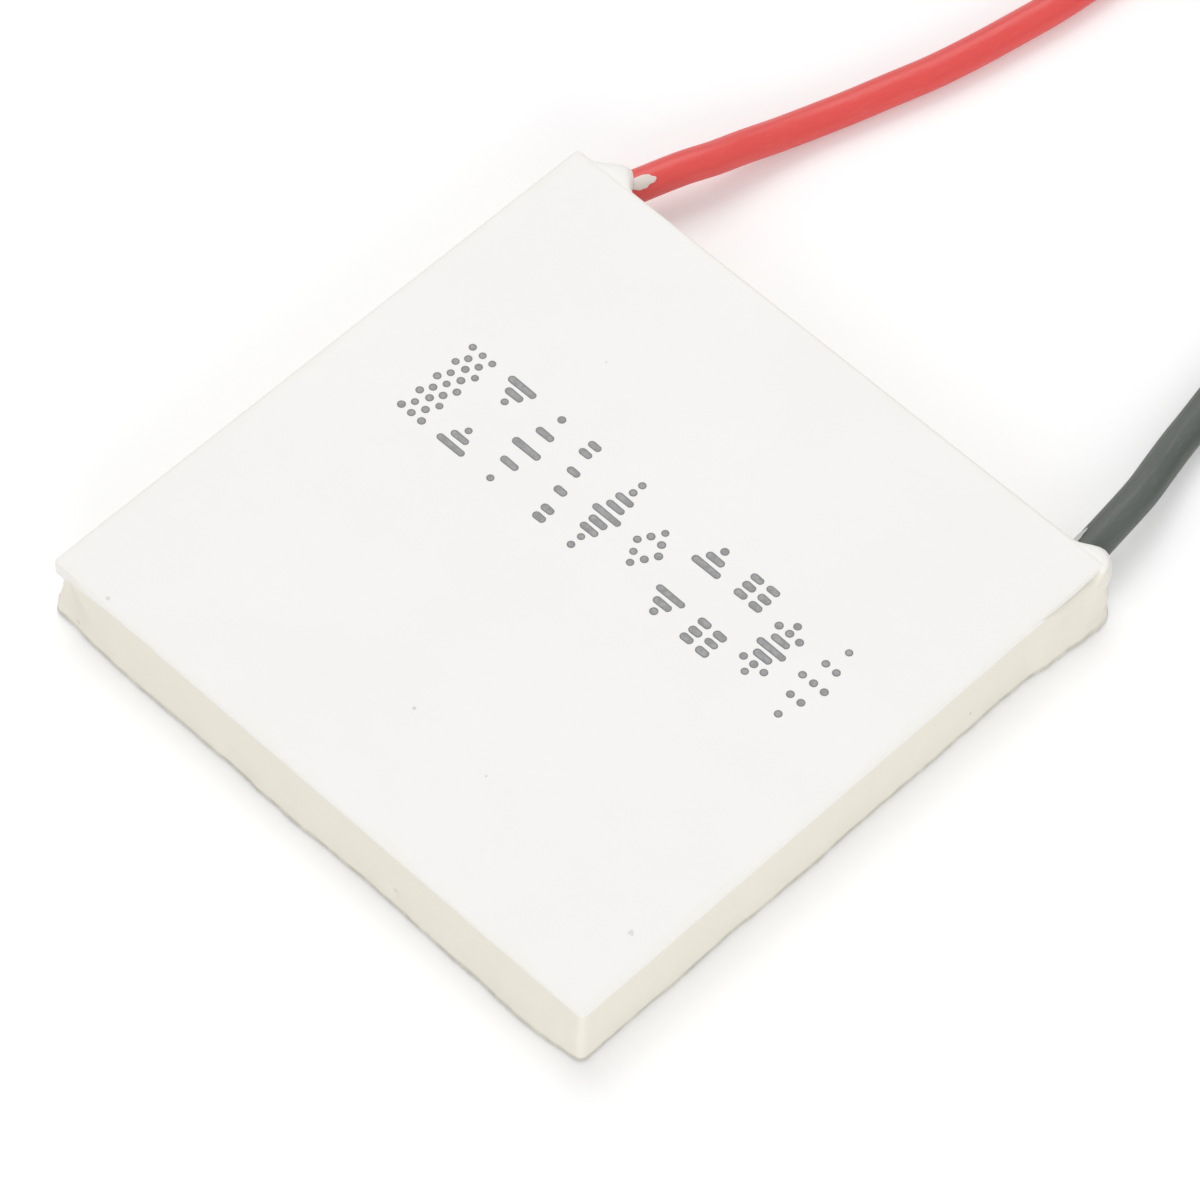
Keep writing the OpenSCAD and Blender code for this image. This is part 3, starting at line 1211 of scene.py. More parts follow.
@dataclass
class Lead:
    """A stranded lead in PVC insulation: its run over the surface, its stored coil and its tinned tip.

    Attributes:
        colour: Which lead it is.
        route: X and Y from the exit, and how far it has come down to the surface (0 to 1).
        turns: Turns of its coil.
        exit_shift: How far the exit lies from the middle of its solder pad, along X.
        finish: The insulation's finish.
        diameter: Outer diameter of the insulation.
        strand_d: Diameter of the stranded conductor.
        inset: How far the insulation reaches in past the plates' edge.
        coil_out_r, coil_in_r: Radius of the outermost and the innermost turn.
        layer_turns, ramp_turns: Turns of the lower layer, and of the climb to the upper one.
        coil_entry: Straight run into the coil.
        tip: Length of the tinned tip.
        tip_in: How far the tip starts inside the insulation.
        tip_round: Length over which the tip's end is rounded off.
        length: The lead's whole length; not used.
        run_step: Distance between the centreline's points on the open run.
        turn_points, tip_points: Points of the centreline on a turn of the coil and on the tip.
        sides, tip_sides: Sides of the insulation and of the tip.
        ripple: How uneven the insulation is, as a share of its radius.
    """

    colour: LeadColour
    route: tuple[Point, ...]
    turns: float
    exit_shift: float
    finish: Insulation
    diameter: float = 1.5
    strand_d: float = 0.76
    inset: float = 0.55
    coil_out_r: float = 9.6
    coil_in_r: float = 6.4
    layer_turns: float = 2.0
    ramp_turns: float = 0.25
    coil_entry: float = 5.6
    tip: float = 6.0
    tip_in: float = 0.4
    tip_round: float = 0.25
    length: float = 200.0
    run_step: float = 0.45
    turn_points: int = 64
    tip_points: int = 60
    sides: int = 20
    tip_sides: int = 48
    ripple: float = 0.004

    @property
    def name(self) -> str:
        """The lead's name."""
        return f"{self.colour.value}_lead"

    def exit(self) -> Vector:
        """Where the lead's axis crosses the plates' edge, in millimetres.

        Returns:
            The place.
        """
        pad_low, pad_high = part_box(f"{self.colour.value}_solder_joint")
        cold_low, cold_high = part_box("cold_side_plate")
        _, hot_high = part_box("hot_side_plate")
        x = (pad_low.x + pad_high.x) / 2 / MM + self.exit_shift
        return Vector((x, cold_high.y / MM, (cold_low.z + hot_high.z) / 2 / MM))

    def _laid(self) -> list[Vector]:
        """The route's points in the module's frame.

        Returns:
            The points, in millimetres.
        """
        start = self.exit()
        drop = start.z - self.diameter / 2
        return [start + Vector((x, y, -share * drop)) for x, y, share in self.route]

    def _open_run(self) -> list[Vector]:
        """A smooth curve through the route, from inside the sealant to the start of the coil.

        Returns:
            The curve's points, in millimetres.
        """
        laid = self._laid()
        way = (laid[1] - laid[0]).normalized()
        knots = [laid[0] - way * self.inset, *laid, laid[-1] + Vector((0, self.coil_entry, 0))]
        line: list[Vector] = []
        for i in range(len(knots) - 1):
            before = knots[max(i - 1, 0)]
            a, b = knots[i], knots[i + 1]
            after = knots[min(i + 2, len(knots) - 1)]
            leave = (b - before) / max((b - before).length, 1e-9) * (b - a).length
            arrive = (after - a) / max((after - a).length, 1e-9) * (b - a).length
            steps = max(2, round((b - a).length / self.run_step))
            for k in range(steps):
                t = k / steps
                line.append(
                    a * (2 * t**3 - 3 * t**2 + 1)
                    + leave * (t**3 - 2 * t**2 + t)
                    + b * (3 * t**2 - 2 * t**3)
                    + arrive * (t**3 - t**2)
                )
        return line

    def coil_middle(self) -> Vector:
        """Middle of the coil."""
        last = self._laid()[-1]
        return Vector((last.x + self.coil_out_r, last.y + self.coil_entry, 0))

    def _on_coil(self, turn: float) -> Vector:
        """A point on the coil after a number of turns: inwards on the surface, outwards on top.

        Args:
            turn: Turns from its start.

        Returns:
            The point, in millimetres.
        """
        upper = self.layer_turns + self.ramp_turns
        low, high = self.diameter / 2, self.diameter * 1.5
        if turn < self.layer_turns:
            radius, height = self.coil_out_r - self.diameter * turn, low
        elif turn < upper:
            share = (turn - self.layer_turns) / self.ramp_turns
            start = self.coil_out_r - self.diameter * self.layer_turns
            radius = start + (self.coil_in_r - start) * share
            height = low + (high - low) * smoothstep(0, 1, share)
        else:
            radius, height = self.coil_in_r + self.diameter * (turn - upper), high
        angle = turn * 2 * math.pi
        return self.coil_middle() + Vector((-radius * math.cos(angle), radius * math.sin(angle), height))

    def turns_at(self, angle: float) -> list[Span]:
        """Radius and height of each of the coil's turns at an angle in degrees from its start.

        Args:
            angle: The angle, in degrees.

        Returns:
            Radius and height of each turn, in millimetres.
        """
        turns = []
        turn = angle / 360
        while turn <= self.turns:
            arm = self._on_coil(turn) - self.coil_middle()
            turns.append((math.hypot(arm.x, arm.y), arm.z))
            turn += 1
        return turns

    def centreline(self) -> list[Vector]:
        """The insulation's centreline, from inside the sealant to where the tip is stripped."""
        steps = round(self.turns * self.turn_points)
        return self._open_run() + [self._on_coil(self.turns * k / steps) for k in range(steps + 1)]

    def tip_line(self) -> list[Vector]:
        """The bare tip's centreline: it keeps the last turn's radius, from inside the insulation.

        Returns:
            The line's points, in millimetres.
        """
        middle = self.coil_middle()
        last = self._on_coil(self.turns)
        arm = Vector((last.x - middle.x, last.y - middle.y, 0))
        line = []
        for k in range(self.tip_points + 1):
            run = -self.tip_in + (self.tip_in + self.tip) * k / self.tip_points
            turned = Matrix.Rotation(-run / arm.length, 3, "Z") @ arm
            line.append(Vector((middle.x + turned.x, middle.y + turned.y, last.z)))
        return line

    @staticmethod
    def _frames(line: Sequence[Vector]) -> list[tuple[Vector, Vector, Vector]]:
        """The heading, the side and the up direction at each point of a line.

        Args:
            line: The line's points.

        Returns:
            The three directions at each point.
        """
        frames = []
        for i in range(len(line)):
            heading = (line[min(i + 1, len(line) - 1)] - line[max(i - 1, 0)]).normalized()
            side = heading.cross(Vector((0, 0, 1))).normalized()
            frames.append((heading, side, side.cross(heading)))
        return frames

    def _tube(
        self, name: str, line: Sequence[Vector], outline: Callable[[float, float], float], sides: int
    ) -> bpy.types.Object:
        """Builds a closed tube along a line.

        Args:
            name: Name of the piece.
            line: Its centreline, in millimetres.
            outline: Radius in millimetres by the run along the line and the angle round it.
            sides: Sides of each ring.

        Returns:
            The tube, with a UV map called run: U is metres along it and V goes round it once.
        """
        verts: list[Vector] = []
        runs: list[float] = []
        run = 0.0
        for i, (point, (_, side, up)) in enumerate(zip(line, self._frames(line))):
            run += (point - line[i - 1]).length if i else 0.0
            runs.append(run * MM)
            for k in range(sides):
                angle = 2 * math.pi * k / sides
                radius = outline(run, angle)
                arm = side * (radius * math.cos(angle))
                verts.append((point + arm + up * (radius * math.sin(angle))) * MM)
        rings = len(line)
        faces = [tuple(range(sides))]
        for i in range(rings - 1):
            for k in range(sides):
                n = (k + 1) % sides
                faces.append((i * sides + k, (i + 1) * sides + k, (i + 1) * sides + n, i * sides + n))
        faces.append(tuple(reversed(range((rings - 1) * sides, rings * sides))))
        mesh = bpy.data.meshes.new(name)
        mesh.from_pydata(verts, [], faces)
        layer = mesh.uv_layers.new(name="run")
        for face in mesh.polygons:
            top = max(v % sides for v in face.vertices)
            for loop in face.loop_indices:
                vertex = mesh.loops[loop].vertex_index
                k = vertex % sides
                wrapped = top == sides - 1 and k == 0 and face.loop_total == 4
                layer.data[loop].uv = (runs[vertex // sides], 1.0 if wrapped else k / sides)
        obj = bpy.data.objects.new(name, mesh)
        bpy.context.scene.collection.objects.link(obj)
        piece = Workpiece(obj)
        piece.weld()
        piece.smooth(35.0)
        return obj

    def build(self, wardrobe: Wardrobe, tie: bpy.types.Object) -> list[bpy.types.Object]:
        """Args:
            wardrobe: The finishes.
            tie: The tie round its coil; not used.

        Returns:
            The pieces.
        """
        line = self.centreline()
        radius = self.diameter / 2

        def skin(run: float, angle: float) -> float:
            """Slightly uneven insulation."""
            wave = math.sin(run * 0.83) * math.sin(angle + run * 0.21)
            return radius * (1 + self.ripple * wave - self.ripple)

        cord = self._tube(f"{self.name}_insulation", line, skin, self.sides)
        tip_run = self.tip + self.tip_in

        def strands(run: float, angle: float) -> float:
            """Seven twisted strands, tinned together, rounded off at the end.

            Args:
                run: Run along the tip.
                angle: Angle round it.

            Returns:
                The radius there, in millimetres.
            """
            lobes = math.cos(6 * (angle - run * 0.9))
            end = math.sqrt(max(0.0, 1 - max(0.0, (run - tip_run + self.tip_round) / self.tip_round) ** 2))
            return self.strand_d / 2 * (0.945 + 0.055 * lobes) * max(0.25, end)

        tip = self._tube(f"{self.name}_tinned_tip", self.tip_line(), strands, self.tip_sides)
        for obj in (cord, tip):
            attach(obj, BODY)
        wardrobe.dress(cord, self.finish)
        wardrobe.dress(tip, TINNED)
        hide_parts(self.name, f"{self.name}_coil")
        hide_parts(f"{self.name}_tip")
        return [cord, tip]


RED_ROUTE: tuple[Point, ...] = (
    (0, 0, 0), (1.05, 3.3, 0), (1.6, 4.9, 0.15), (1.9, 6.4, 0.45), (2.25, 7.9, 0.75),
    (2.7, 9.6, 0.95), (3.3, 11.5, 1), (3.9, 13.5, 1), (4.5, 15.5, 1), (5, 17.7, 1),
    (5.4, 19.9, 1), (5.75, 22, 1), (5.95, 24.2, 1), (6, 26.4, 1), (6, 31.4, 1),
)  # fmt: skip
BLACK_ROUTE: tuple[Point, ...] = (
    (0, 0, 0), (-0.35, 3.3, 0), (-0.6, 4.9, 0.15), (-1, 6.4, 0.45), (-1.4, 7.9, 0.75),
    (-1.75, 9.6, 0.95), (-2.05, 11.2, 1), (-2.25, 12.7, 1), (-2.25, 14.4, 1),
)  # fmt: skip


@dataclass
class CoilTie:
    """A twisted ribbon tie round each stored coil.

    Attributes:
        angle: Where it sits on the coil, in degrees round from its start.
        width: Width of the ribbon.
        thick: Thickness of the ribbon.
        ease: Play between the ribbon and the turns.
        round_r: Radius that the ribbon bends with.
        tail: Length of its twisted ends, which lie in the coil's eye.
        tail_w: Width of the twisted ends.
        tail_t: Thickness of the twisted ends.
        tail_r: Rounding of their edges.
        tail_up: How far they lie above the surface.
        tail_in: How far they reach into the ribbon.
        tail_cuts: Cuts along them, for the twist.
        twist: Turns of the twist.
    """

    angle: float = 150.0
    width: float = 1.5
    thick: float = 0.14
    ease: float = 0.02
    round_r: float = 0.36
    tail: float = 4.4
    tail_w: float = 0.85
    tail_t: float = 0.46
    tail_r: float = 0.2
    tail_up: float = 0.03
    tail_in: float = 0.2
    tail_cuts: int = 40
    twist: float = 2.5

    def _model(self, lead: Lead) -> Workpiece:
        """Models a lead's tie, with X pointing outwards from the coil's middle and Y along its turns.

        Args:
            lead: The lead that it holds.

        Returns:
            The tie, round the origin.
        """
        turns = lead.turns_at(self.angle)
        skin = lead.diameter / 2 + self.ease
        inner, outer = min(r for r, _ in turns) - skin, max(r for r, _ in turns) + skin
        low, high = self.thick, 2 * lead.diameter + self.ease
        slope_in = min(r + z for r, z in turns) - skin * math.sqrt(2)
        slope_out = max(r + z for r, z in turns) + skin * math.sqrt(2)
        middle = metres(((inner + outer) / 2, 0, (low + high) / 2))
        loop = Workpiece.block("coil_tie_loop", middle, metres((outer - inner, self.width, high - low)))
        loop.pick(Pick.EDGE, lambda mid, run: abs(run.y) > 1 and mid.x > outer - 0.1 and mid.z > high - 0.1)
        loop.bevel(outer + high - slope_out, 1)
        loop.pick(Pick.EDGE, lambda mid, run: abs(run.y) > 1 and mid.x < inner + 0.1 and mid.z < low + 0.1)
        loop.bevel(slope_in - inner - low, 1)
        loop.pick(Pick.EDGE, lambda mid, run: abs(run.y) > 1)
        loop.bevel(self.round_r, 5)
        loop.pick(Pick.FACE, lambda mid, normal: abs(normal.y) > 0.9)
        loop.edit(lambda: bpy.ops.mesh.delete(type="FACE"))
        loop.apply("SOLIDIFY", thickness=self.thick * MM, offset=1.0)
        tail = Workpiece.block("coil_tie_tail", (0, 0, 0), metres((self.tail_t, self.tail_w, self.tail)))
        tail.pick(Pick.EDGE, lambda mid, run: abs(run.z) > 1)
        tail.bevel(self.tail_r, 3)
        tail.pick(Pick.EDGE, lambda mid, run: abs(run.z) > 1)
        tail.edit(lambda: bpy.ops.mesh.subdivide(number_cuts=self.tail_cuts))
        tail.apply("SIMPLE_DEFORM", deform_method="TWIST", deform_axis="Z", angle=self.twist * 2 * math.pi)
        height = self.tail_w / 2 + self.tail_up
        middle = metres((slope_in - height + self.tail_in - self.tail / 2, 0, height))
        tail.place(Matrix.Translation(middle) @ Matrix.Rotation(math.pi / 2, 4, "Y"))
        return join([loop, tail], f"{lead.name}_coil_tie")

    def build(self, leads: Sequence[Lead], wardrobe: Wardrobe) -> list[bpy.types.Object]:
        """Puts a tie round each lead's coil.

        Args:
            leads: The leads.
            wardrobe: The finishes.

        Returns:
            The pieces.
        """
        ties = []
        for lead in leads:
            tie = self._model(lead)
            turn = Matrix.Rotation(math.radians(180.0 - self.angle), 4, "Z")
            tie.place(Matrix.Translation(metres(lead.coil_middle())) @ turn)
            tie.weld()
            tie.smooth(35.0)
            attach(tie.obj, BODY)
            wardrobe.dress(tie.obj, TIE_RIBBON)
            ties.append(tie.obj)
        return ties


# --- Plates ---------------------------------------------------------------------------------------


@dataclass
class CeramicPlate:
    """A ground and snapped alumina plate with rounded corners and softened rims.

    Attributes:
        name: Name of the piece.
        node: The solid that it stands for.
        finish: Its finish.
        corner_r: Radius of the upright corners.
        outer_rim: Softening of the outer face's rim.
        inner_rim: Softening of the rim towards the pellets.
        margin: Ring of flat faces inside each face's rim, which keeps the face shaded flat.
        outer_up: Whether the outer face is the upper one.
    """

    name: str
    node: str
    finish: Ceramic
    outer_up: bool
    corner_r: float = 0.14
    outer_rim: float = 0.1
    inner_rim: float = 0.04
    margin: float = 0.03

    def build(self, wardrobe: Wardrobe) -> bpy.types.Object:
        """Builds the plate from a block.

        Args:
            wardrobe: The finishes.

        Returns:
            The piece.
        """
        low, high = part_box(self.node)
        plate = Workpiece.block(self.name, (low + high) / 2, high - low)
        plate.pick(Pick.EDGE, lambda mid, run: abs(run.z) > 0.1)
        plate.bevel(self.corner_r, 6)
        bottom, top = low.z / MM, high.z / MM
        outer, inner = (top, bottom) if self.outer_up else (bottom, top)
        plate.pick(Pick.EDGE, lambda mid, run: abs(mid.z - outer) < 1e-3)
        plate.bevel(self.outer_rim, 3)
        plate.pick(Pick.EDGE, lambda mid, run: abs(mid.z - inner) < 1e-3)
        plate.bevel(self.inner_rim, 2)
        plate.pick(Pick.FACE, lambda mid, normal: abs(normal.z) > 0.99)
        plate.inset(self.margin)
        plate.weld()
        plate.smooth(50.0)
        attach(plate.obj, BODY)
        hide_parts(self.node)
        wardrobe.dress(plate.obj, self.finish)
        return plate.obj


# --- Edge sealant ---------------------------------------------------------------------------------


FRONT_FOOT: Knots = (
    (-15, 0.18), (-14.4, 0.25), (-13.5, 0.31), (-12.3, 0.28), (-11.2, 0.31), (-9.6, 0.33), (-7.5, 0.31),
    (-5.6, 0.30), (-4, 0.27), (-2.5, 0.34), (-0.5, 0.35), (1.5, 0.28), (4, 0.26), (6.5, 0.28), (8.2, 0.33),
    (9.6, 0.34), (11, 0.38), (12.4, 0.38), (13.5, 0.31), (14.4, 0.21), (15, 0.15),
)  # fmt: skip
RIGHT_FOOT: Knots = (
    (-15, 0.12), (-13, 0.10), (-9.5, 0.12), (-6.5, 0.10), (-5.2, 0.17), (-2, 0.20), (1.5, 0.17), (5, 0.20),
    (8, 0.18), (10.4, 0.20), (11.6, 0.38), (12.5, 0.43), (13.5, 0.55), (14.4, 0.63), (15, 0.52),
)  # fmt: skip
BACK_FOOT: Knots = (
    (-15, 0.2), (-13.2, 0.5), (-11, 0.28), (-5, 0.32), (1, 0.24),
    (7, 0.34), (12, 0.3), (13.8, 0.55), (15, 0.5),
)  # fmt: skip
LEFT_FOOT: Knots = ((-15, 0.18), (-12, 0.24), (-6, 0.2), (-1, 0.28), (5, 0.22), (10, 0.27), (15, 0.2))


@dataclass(frozen=True)
class Dent:
    """A place where the bead was pressed in or drawn out.

    Attributes:
        place: Its middle.
        by: How far the bead goes there.
        reach: Radius of what follows.
    """

    place: Point
    by: Point
    reach: float


@dataclass(frozen=True)
class Wiping:
    """Where the bead is wiped to a thin white film, and where painted shade darkens its creases.

    Attributes:
        low: Height where the rim's film starts at the front left corner.
        below_top: How far below the top it starts elsewhere.
        fade: Distances from that corner between which the start rises.
        soft: Height that it takes to grow full, which ends at least a margin below the top.
        margin: That margin.
        mound_out, mound_up: Where the film on the two mounds grows full, outwards and upwards.
        edge_up, edge_out: Where the film over the plate's edge grows full upwards and ends outwards.
        crease_shade: How much painted shade darkens the crease at the front left corner, under the bare
            plate.
        crease_near, crease_up, crease_end: Where it fades along the sides, and starts and ends upwards.
        ledge_shade: How much painted shade darkens the ledge under the bared edge.
        ledge_up, ledge_out: Where it starts upwards and ends outwards.
        least: The least painted shade that shows.
    """

    low: float = 2.8
    below_top: float = 0.32
    fade: Span = (0.6, 4.0)
    soft: float = 0.45
    margin: float = 0.05
    mound_out: Span = (0.08, 0.35)
    mound_up: Span = (1.7, 2.6)
    edge_up: Span = (2.6, 2.75)
    edge_out: Span = (-0.01, 0.05)
    crease_shade: float = 0.55
    crease_near: Span = (0.5, 1.2)
    crease_up: Span = (2.35, 2.66)
    crease_end: Span = (2.7, 2.75)
    ledge_shade: float = 0.6
    ledge_up: Span = (2.8, 2.9)
    ledge_out: Span = (0.0, 0.06)
    least: float = 0.05


@dataclass
class EdgeSealant:
    """One bead of silicone round the module: it fills the gap and laps over both plates' edges.

    Attributes:
        lap: How far it starts inside the plates' edges.
        foot_out: How far it stands out at the foot before it is shaped.
        top_out: How far it stands out at the top.
        foot_r: Radius of the foot.
        top_r: Rounding where it is wiped off at the top.
        shy: Gap under the foot.
        top_shy: Gap below the cold face.
        depth: How far the wall between the plates reaches in.
        corner_r: Radius that it goes round the corners with.
        levels: Heights of the rows of the mesh.
        step: Length of its stations along a side.
        feet: How far the foot stands out along the front, right, back and left side.
        hollow: How far it stands out at the front left corner by height, under the bare plate.
        hollow_reach: Distances from that corner where the hollow starts to fade and where it is gone.
        hollow_shrink: How much nearer both are at the top.
        neck: Heights between which they come nearer.
        shoulder: How far it stands out at the rear right corner by height.
        shoulder_reach: Distances from that corner where the shoulder starts to fade and where it is gone.
        shoulder_up: Heights between which it comes in.
        lean: How far above the foot the lean starts, and how much of the height it leaves out.
        bare_from, bare_to: Where along the right side the cold plate's edge starts and ends to show.
        bare_out, bare_drop: How far the bead moves out and down there.
        bare_out_up, bare_drop_up: Heights between which both grow to that.
        skin: Distances past the plates' edge between which the shaping sets in.
        wiping: Where it is wiped thin and where painted shade darkens its creases.
        dents: Further places where it is pressed in or drawn out.
        lumps: Size and depth of its unevenness.
        lumps_skin: Distances past the plates' edge between which the unevenness sets in.
        lumps_up: Heights between which it becomes less.
        lumps_less: By how much it becomes less.
        lumps_top: How far below the top it starts to fade and is gone.
        half, top, gap: The plates' half width, the cold face's height and the gap between the plates.
    """

    lap: float = 0.13
    foot_out: float = 0.12
    top_out: float = 0.06
    foot_r: float = 0.1
    top_r: float = 0.19
    shy: float = 0.03
    top_shy: float = 0.002
    depth: float = 0.9
    corner_r: float = 0.25
    levels: tuple[float, ...] = (0.3, 0.55, 0.8, 1.1, 1.4, 1.75, 2.1, 2.4, 2.7, 2.85, 3.0, 3.12, 3.22)
    step: float = 0.42
    feet: tuple[Knots, Knots, Knots, Knots] = (FRONT_FOOT, RIGHT_FOOT, BACK_FOOT, LEFT_FOOT)
    hollow: Knots = (
        (0.05, 0.12), (0.5, 0.08), (0.85, 0.05), (1.25, -0.09), (1.7, -0.19),
        (2.2, -0.24), (2.62, -0.26), (2.78, -0.03), (3.2, -0.03), (3.5, -0.08),
    )  # fmt: skip
    hollow_reach: Span = (0.6, 2.6)
    hollow_shrink: Span = (0.3, 1.0)
    neck: Span = (1.6, 2.6)
    shoulder: Knots = (
        (0.05, 0.36), (0.7, 0.36), (1.3, 0.37), (1.7, 0.31),
        (2.0, 0.27), (2.5, 0.32), (2.9, 0.22), (3.5, 0.18),
    )  # fmt: skip
    shoulder_reach: Span = (0.3, 1.5)
    shoulder_up: Span = (0.2, 0.7)
    lean: Span = (0.1, 0.3)
    bare_from: Span = (10.8, 12.8)
    bare_to: Span = (14.3, 14.8)
    bare_out: float = 0.1
    bare_drop: float = 0.45
    bare_out_up: Span = (2.4, 3.0)
    bare_drop_up: Span = (1.6, 3.25)
    skin: Span = (-0.1, -0.02)
    wiping: Wiping = Wiping()
    dents: tuple[Dent, ...] = (
        Dent((-13.05, 15.1, 2.95), (0.1, 1.0, 0.0), 1.35),
        Dent((-13.75, 15.1, 2.2), (0.0, 0.45, 0.0), 1.1),
        Dent((-12.6, 15.1, 1.3), (0.0, 0.35, 0.0), 1.1),
        Dent((-13.2, 15.2, 0.6), (0.0, 0.2, 0.0), 1.0),
        Dent((14.25, 15.1, 2.9), (0.05, 0.62, 0.0), 1.25),
        Dent((13.1, 15.1, 2.2), (0.0, 0.35, 0.0), 1.0),
        Dent((14.3, 15.2, 1.5), (0.0, 0.2, 0.0), 1.2),
        Dent((13.6, 15.2, 0.6), (0.0, 0.15, 0.0), 1.0),
        Dent((4.8, -15.15, 1.1), (0.0, 0.1, 0.0), 0.5),
    )
    lumps: Knots = ((1.5, 0.09), (0.55, 0.06))
    lumps_skin: Span = (-0.02, 0.05)
    lumps_up: Span = (0.5, 2.6)
    lumps_less: float = 0.7
    lumps_top: Span = (0.45, 0.1)
    half: float = field(init=False)
    top: float = field(init=False)
    gap: Span = field(init=False)

    def build(self, wardrobe: Wardrobe) -> bpy.types.Object:
        """Builds the bead: a section, swept round the plates, then thumbed into shape.

        Args:
            wardrobe: The finishes.

        Returns:
            The piece.
        """
        cold_low, cold_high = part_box("cold_side_plate")
        _, hot_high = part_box("hot_side_plate")
        self.half, self.top = cold_high.x / MM, cold_high.z / MM
        self.gap = (hot_high.z / MM, cold_low.z / MM)
        bead = self._section()
        self._sweep(bead)
        bead.apply("SUBSURF", levels=1, render_levels=1)
        self._shape(bead)
        self._lumps(bead)
        # film holds the wiped film above 0 and painted shade in the creases below 0
        bead.paint("film", [self._film_and_shade(co) for co in bead.places()])
        bead.weld()
        bead.smooth(60.0)
        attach(bead.obj, BODY)
        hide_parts("edge_sealant")
        wardrobe.dress(bead.obj, SEALANT)
        return bead.obj

    def _section(self) -> Workpiece:
        """Cuts the section, standing across the front side at its left end.

        Returns:
            The section, a flat mesh.
        """
        width = self.lap + self.foot_out
        bottom, top = self.shy, self.top - self.top_shy
        start = -(self.half - self.corner_r)
        middle = (start, -self.half - self.foot_out + width / 2, (bottom + top) / 2)
        deselect_all()
        bpy.ops.mesh.primitive_plane_add(size=1.0, location=metres(middle), rotation=(0, math.pi / 2, 0))
        bead = Workpiece.from_active("edge_sealant_bead")
        bead.place(
            Matrix.Translation(metres(middle))
            @ Matrix.Diagonal((1.0, width * MM, (top - bottom) * MM, 1.0))
            @ Matrix.Translation(-metres(middle))
        )
        outer = -self.half - self.foot_out
        bead.pick(Pick.VERT, lambda co, _: co.z > top - 0.01 and co.y < outer + 0.01)
        bead.move((0, self.foot_out - self.top_out, 0))
        bead.bevel(self.top_r, 4, "VERTICES")
        bead.pick(Pick.VERT, lambda co, _: co.z < bottom + 0.01 and co.y < outer + 0.01)
        bead.bevel(self.foot_r, 4, "VERTICES")
        for level in self.levels:

            def cut(height: float = level) -> None:
                """Cuts the section at a height."""
                bpy.ops.mesh.select_all(action="SELECT")
                bpy.ops.mesh.bisect(plane_co=(0, 0, height * MM), plane_no=(0, 0, 1))

            bead.edit(cut)
        inner = -self.half + self.lap
        low, high = self.gap

        def faces_gap(mid: Vector, run: Vector) -> bool:
            """Whether an edge faces the gap between the plates."""
            return abs(mid.y - inner) < 0.01 and low - 0.01 < mid.z < high + 0.01 and abs(run.y) < 0.001

        bead.pick(Pick.EDGE, faces_gap)
        bead.extrude((0, self.depth - self.lap, 0))
        return bead

    def _sweep(self, bead: Workpiece) -> None:
        """Sweeps the section round the four sides and corners and closes the ring.

        Args:
            bead: The section, which becomes the bead.
        """
        straight = 2 * (self.half - self.corner_r)
        start = -(self.half - self.corner_r)
        bead.pick(Pick.FACE, lambda mid, normal: True)
        bead.extrude((straight, 0, 0))
        for end in (start, -start):
            bead.pick(Pick.FACE, lambda mid, normal, at=end: abs(mid.x - at) < 0.01 and abs(normal.x) > 0.9)
            bead.edit(lambda: bpy.ops.mesh.delete(type="FACE"))
        headings = [(1, 0), (0, 1), (-1, 0), (0, -1)]
        for i, (dx, dy) in enumerate(headings):
            corner = Vector((dx + dy, dy - dx, 0)) * (self.half - self.corner_r)

            def at_end(mid: Vector, run: Vector, dx: int = dx, dy: int = dy, corner: Vector = corner) -> bool:
                """Whether an edge lies in the cross-section at the end of this side.

                Args:
                    mid: The edge's middle.
                    run: Its run.
                    dx, dy: The side's heading.
                    corner: The middle of the corner that ends it.

                Returns:
                    Whether it does.
                """
                ahead = (mid.x - corner.x) * dx + (mid.y - corner.y) * dy
                across = abs(run.x * dx + run.y * dy) < 0.005
                return abs(ahead) < 0.01 and across and mid.x * dy - mid.y * dx > self.half - self.depth - 0.2

            bead.pick(Pick.EDGE, at_end)
            pivot = {"center": tuple(corner * MM), "axis": (0, 0, 1)}
            bead.edit(lambda about=pivot: bpy.ops.mesh.spin(steps=5, angle=-math.pi / 2, **about))
            if i < 3:
                nx, ny = headings[i + 1]
                bead.extrude((nx * straight, ny * straight, 0))
        bead.weld()
        bead.pick(Pick.EDGE, lambda mid, run: run.length > 5)
        bead.edit(lambda: bpy.ops.mesh.subdivide(number_cuts=round(straight / self.step) - 1))

    def _outwards(self, co: Vector) -> tuple[Vector, float]:
        """The way out of the ring at a place, and how far the place is past the plates' edge.

        Args:
            co: The place, in millimetres.

        Returns:
            The way out and the distance.
        """
        inner = self.half - self.corner_r
        arm = Vector((co.x - min(inner, max(-inner, co.x)), co.y - min(inner, max(-inner, co.y)), 0))
        return arm.normalized(), arm.length - self.corner_r

    def _from_corner(self, co: Vector, side: int) -> float:
        """How far a place is from the front left corner (side -1) or the rear right one (side 1)."""
        return max(abs(co.x - side * self.half), abs(co.y - side * self.half))

    def _reach(self, co: Vector, way: Vector) -> float:
        """How far the shaped bead stands out at a place.

        Args:
            co: The place, in millimetres.
            way: The way out of the ring there.

        Returns:
            The distance from the plates' edge, in millimetres.
        """
        front, right, back, left = self.feet
        across = between(right, co.y) if way.x > 0 else between(left, co.y)
        along = between(back, co.x) if way.y > 0 else between(front, co.x)
        foot = across * way.x**2 + along * way.y**2
        above, left_out = self.lean
        out = foot + (self.top_out - foot) * min(1.0, max(0.0, (co.z - above) / (self.top - left_out)))
        high = smoothstep(*self.neck, co.z)
        full, gone = (reach - shrink * high for reach, shrink in zip(self.hollow_reach, self.hollow_shrink))
        out += (between(self.hollow, co.z) - out) * (1 - smoothstep(full, gone, self._from_corner(co, -1)))
        share = 1 - smoothstep(*self.shoulder_reach, self._from_corner(co, 1))
        return out + (between(self.shoulder, co.z) - out) * share * smoothstep(*self.shoulder_up, co.z)

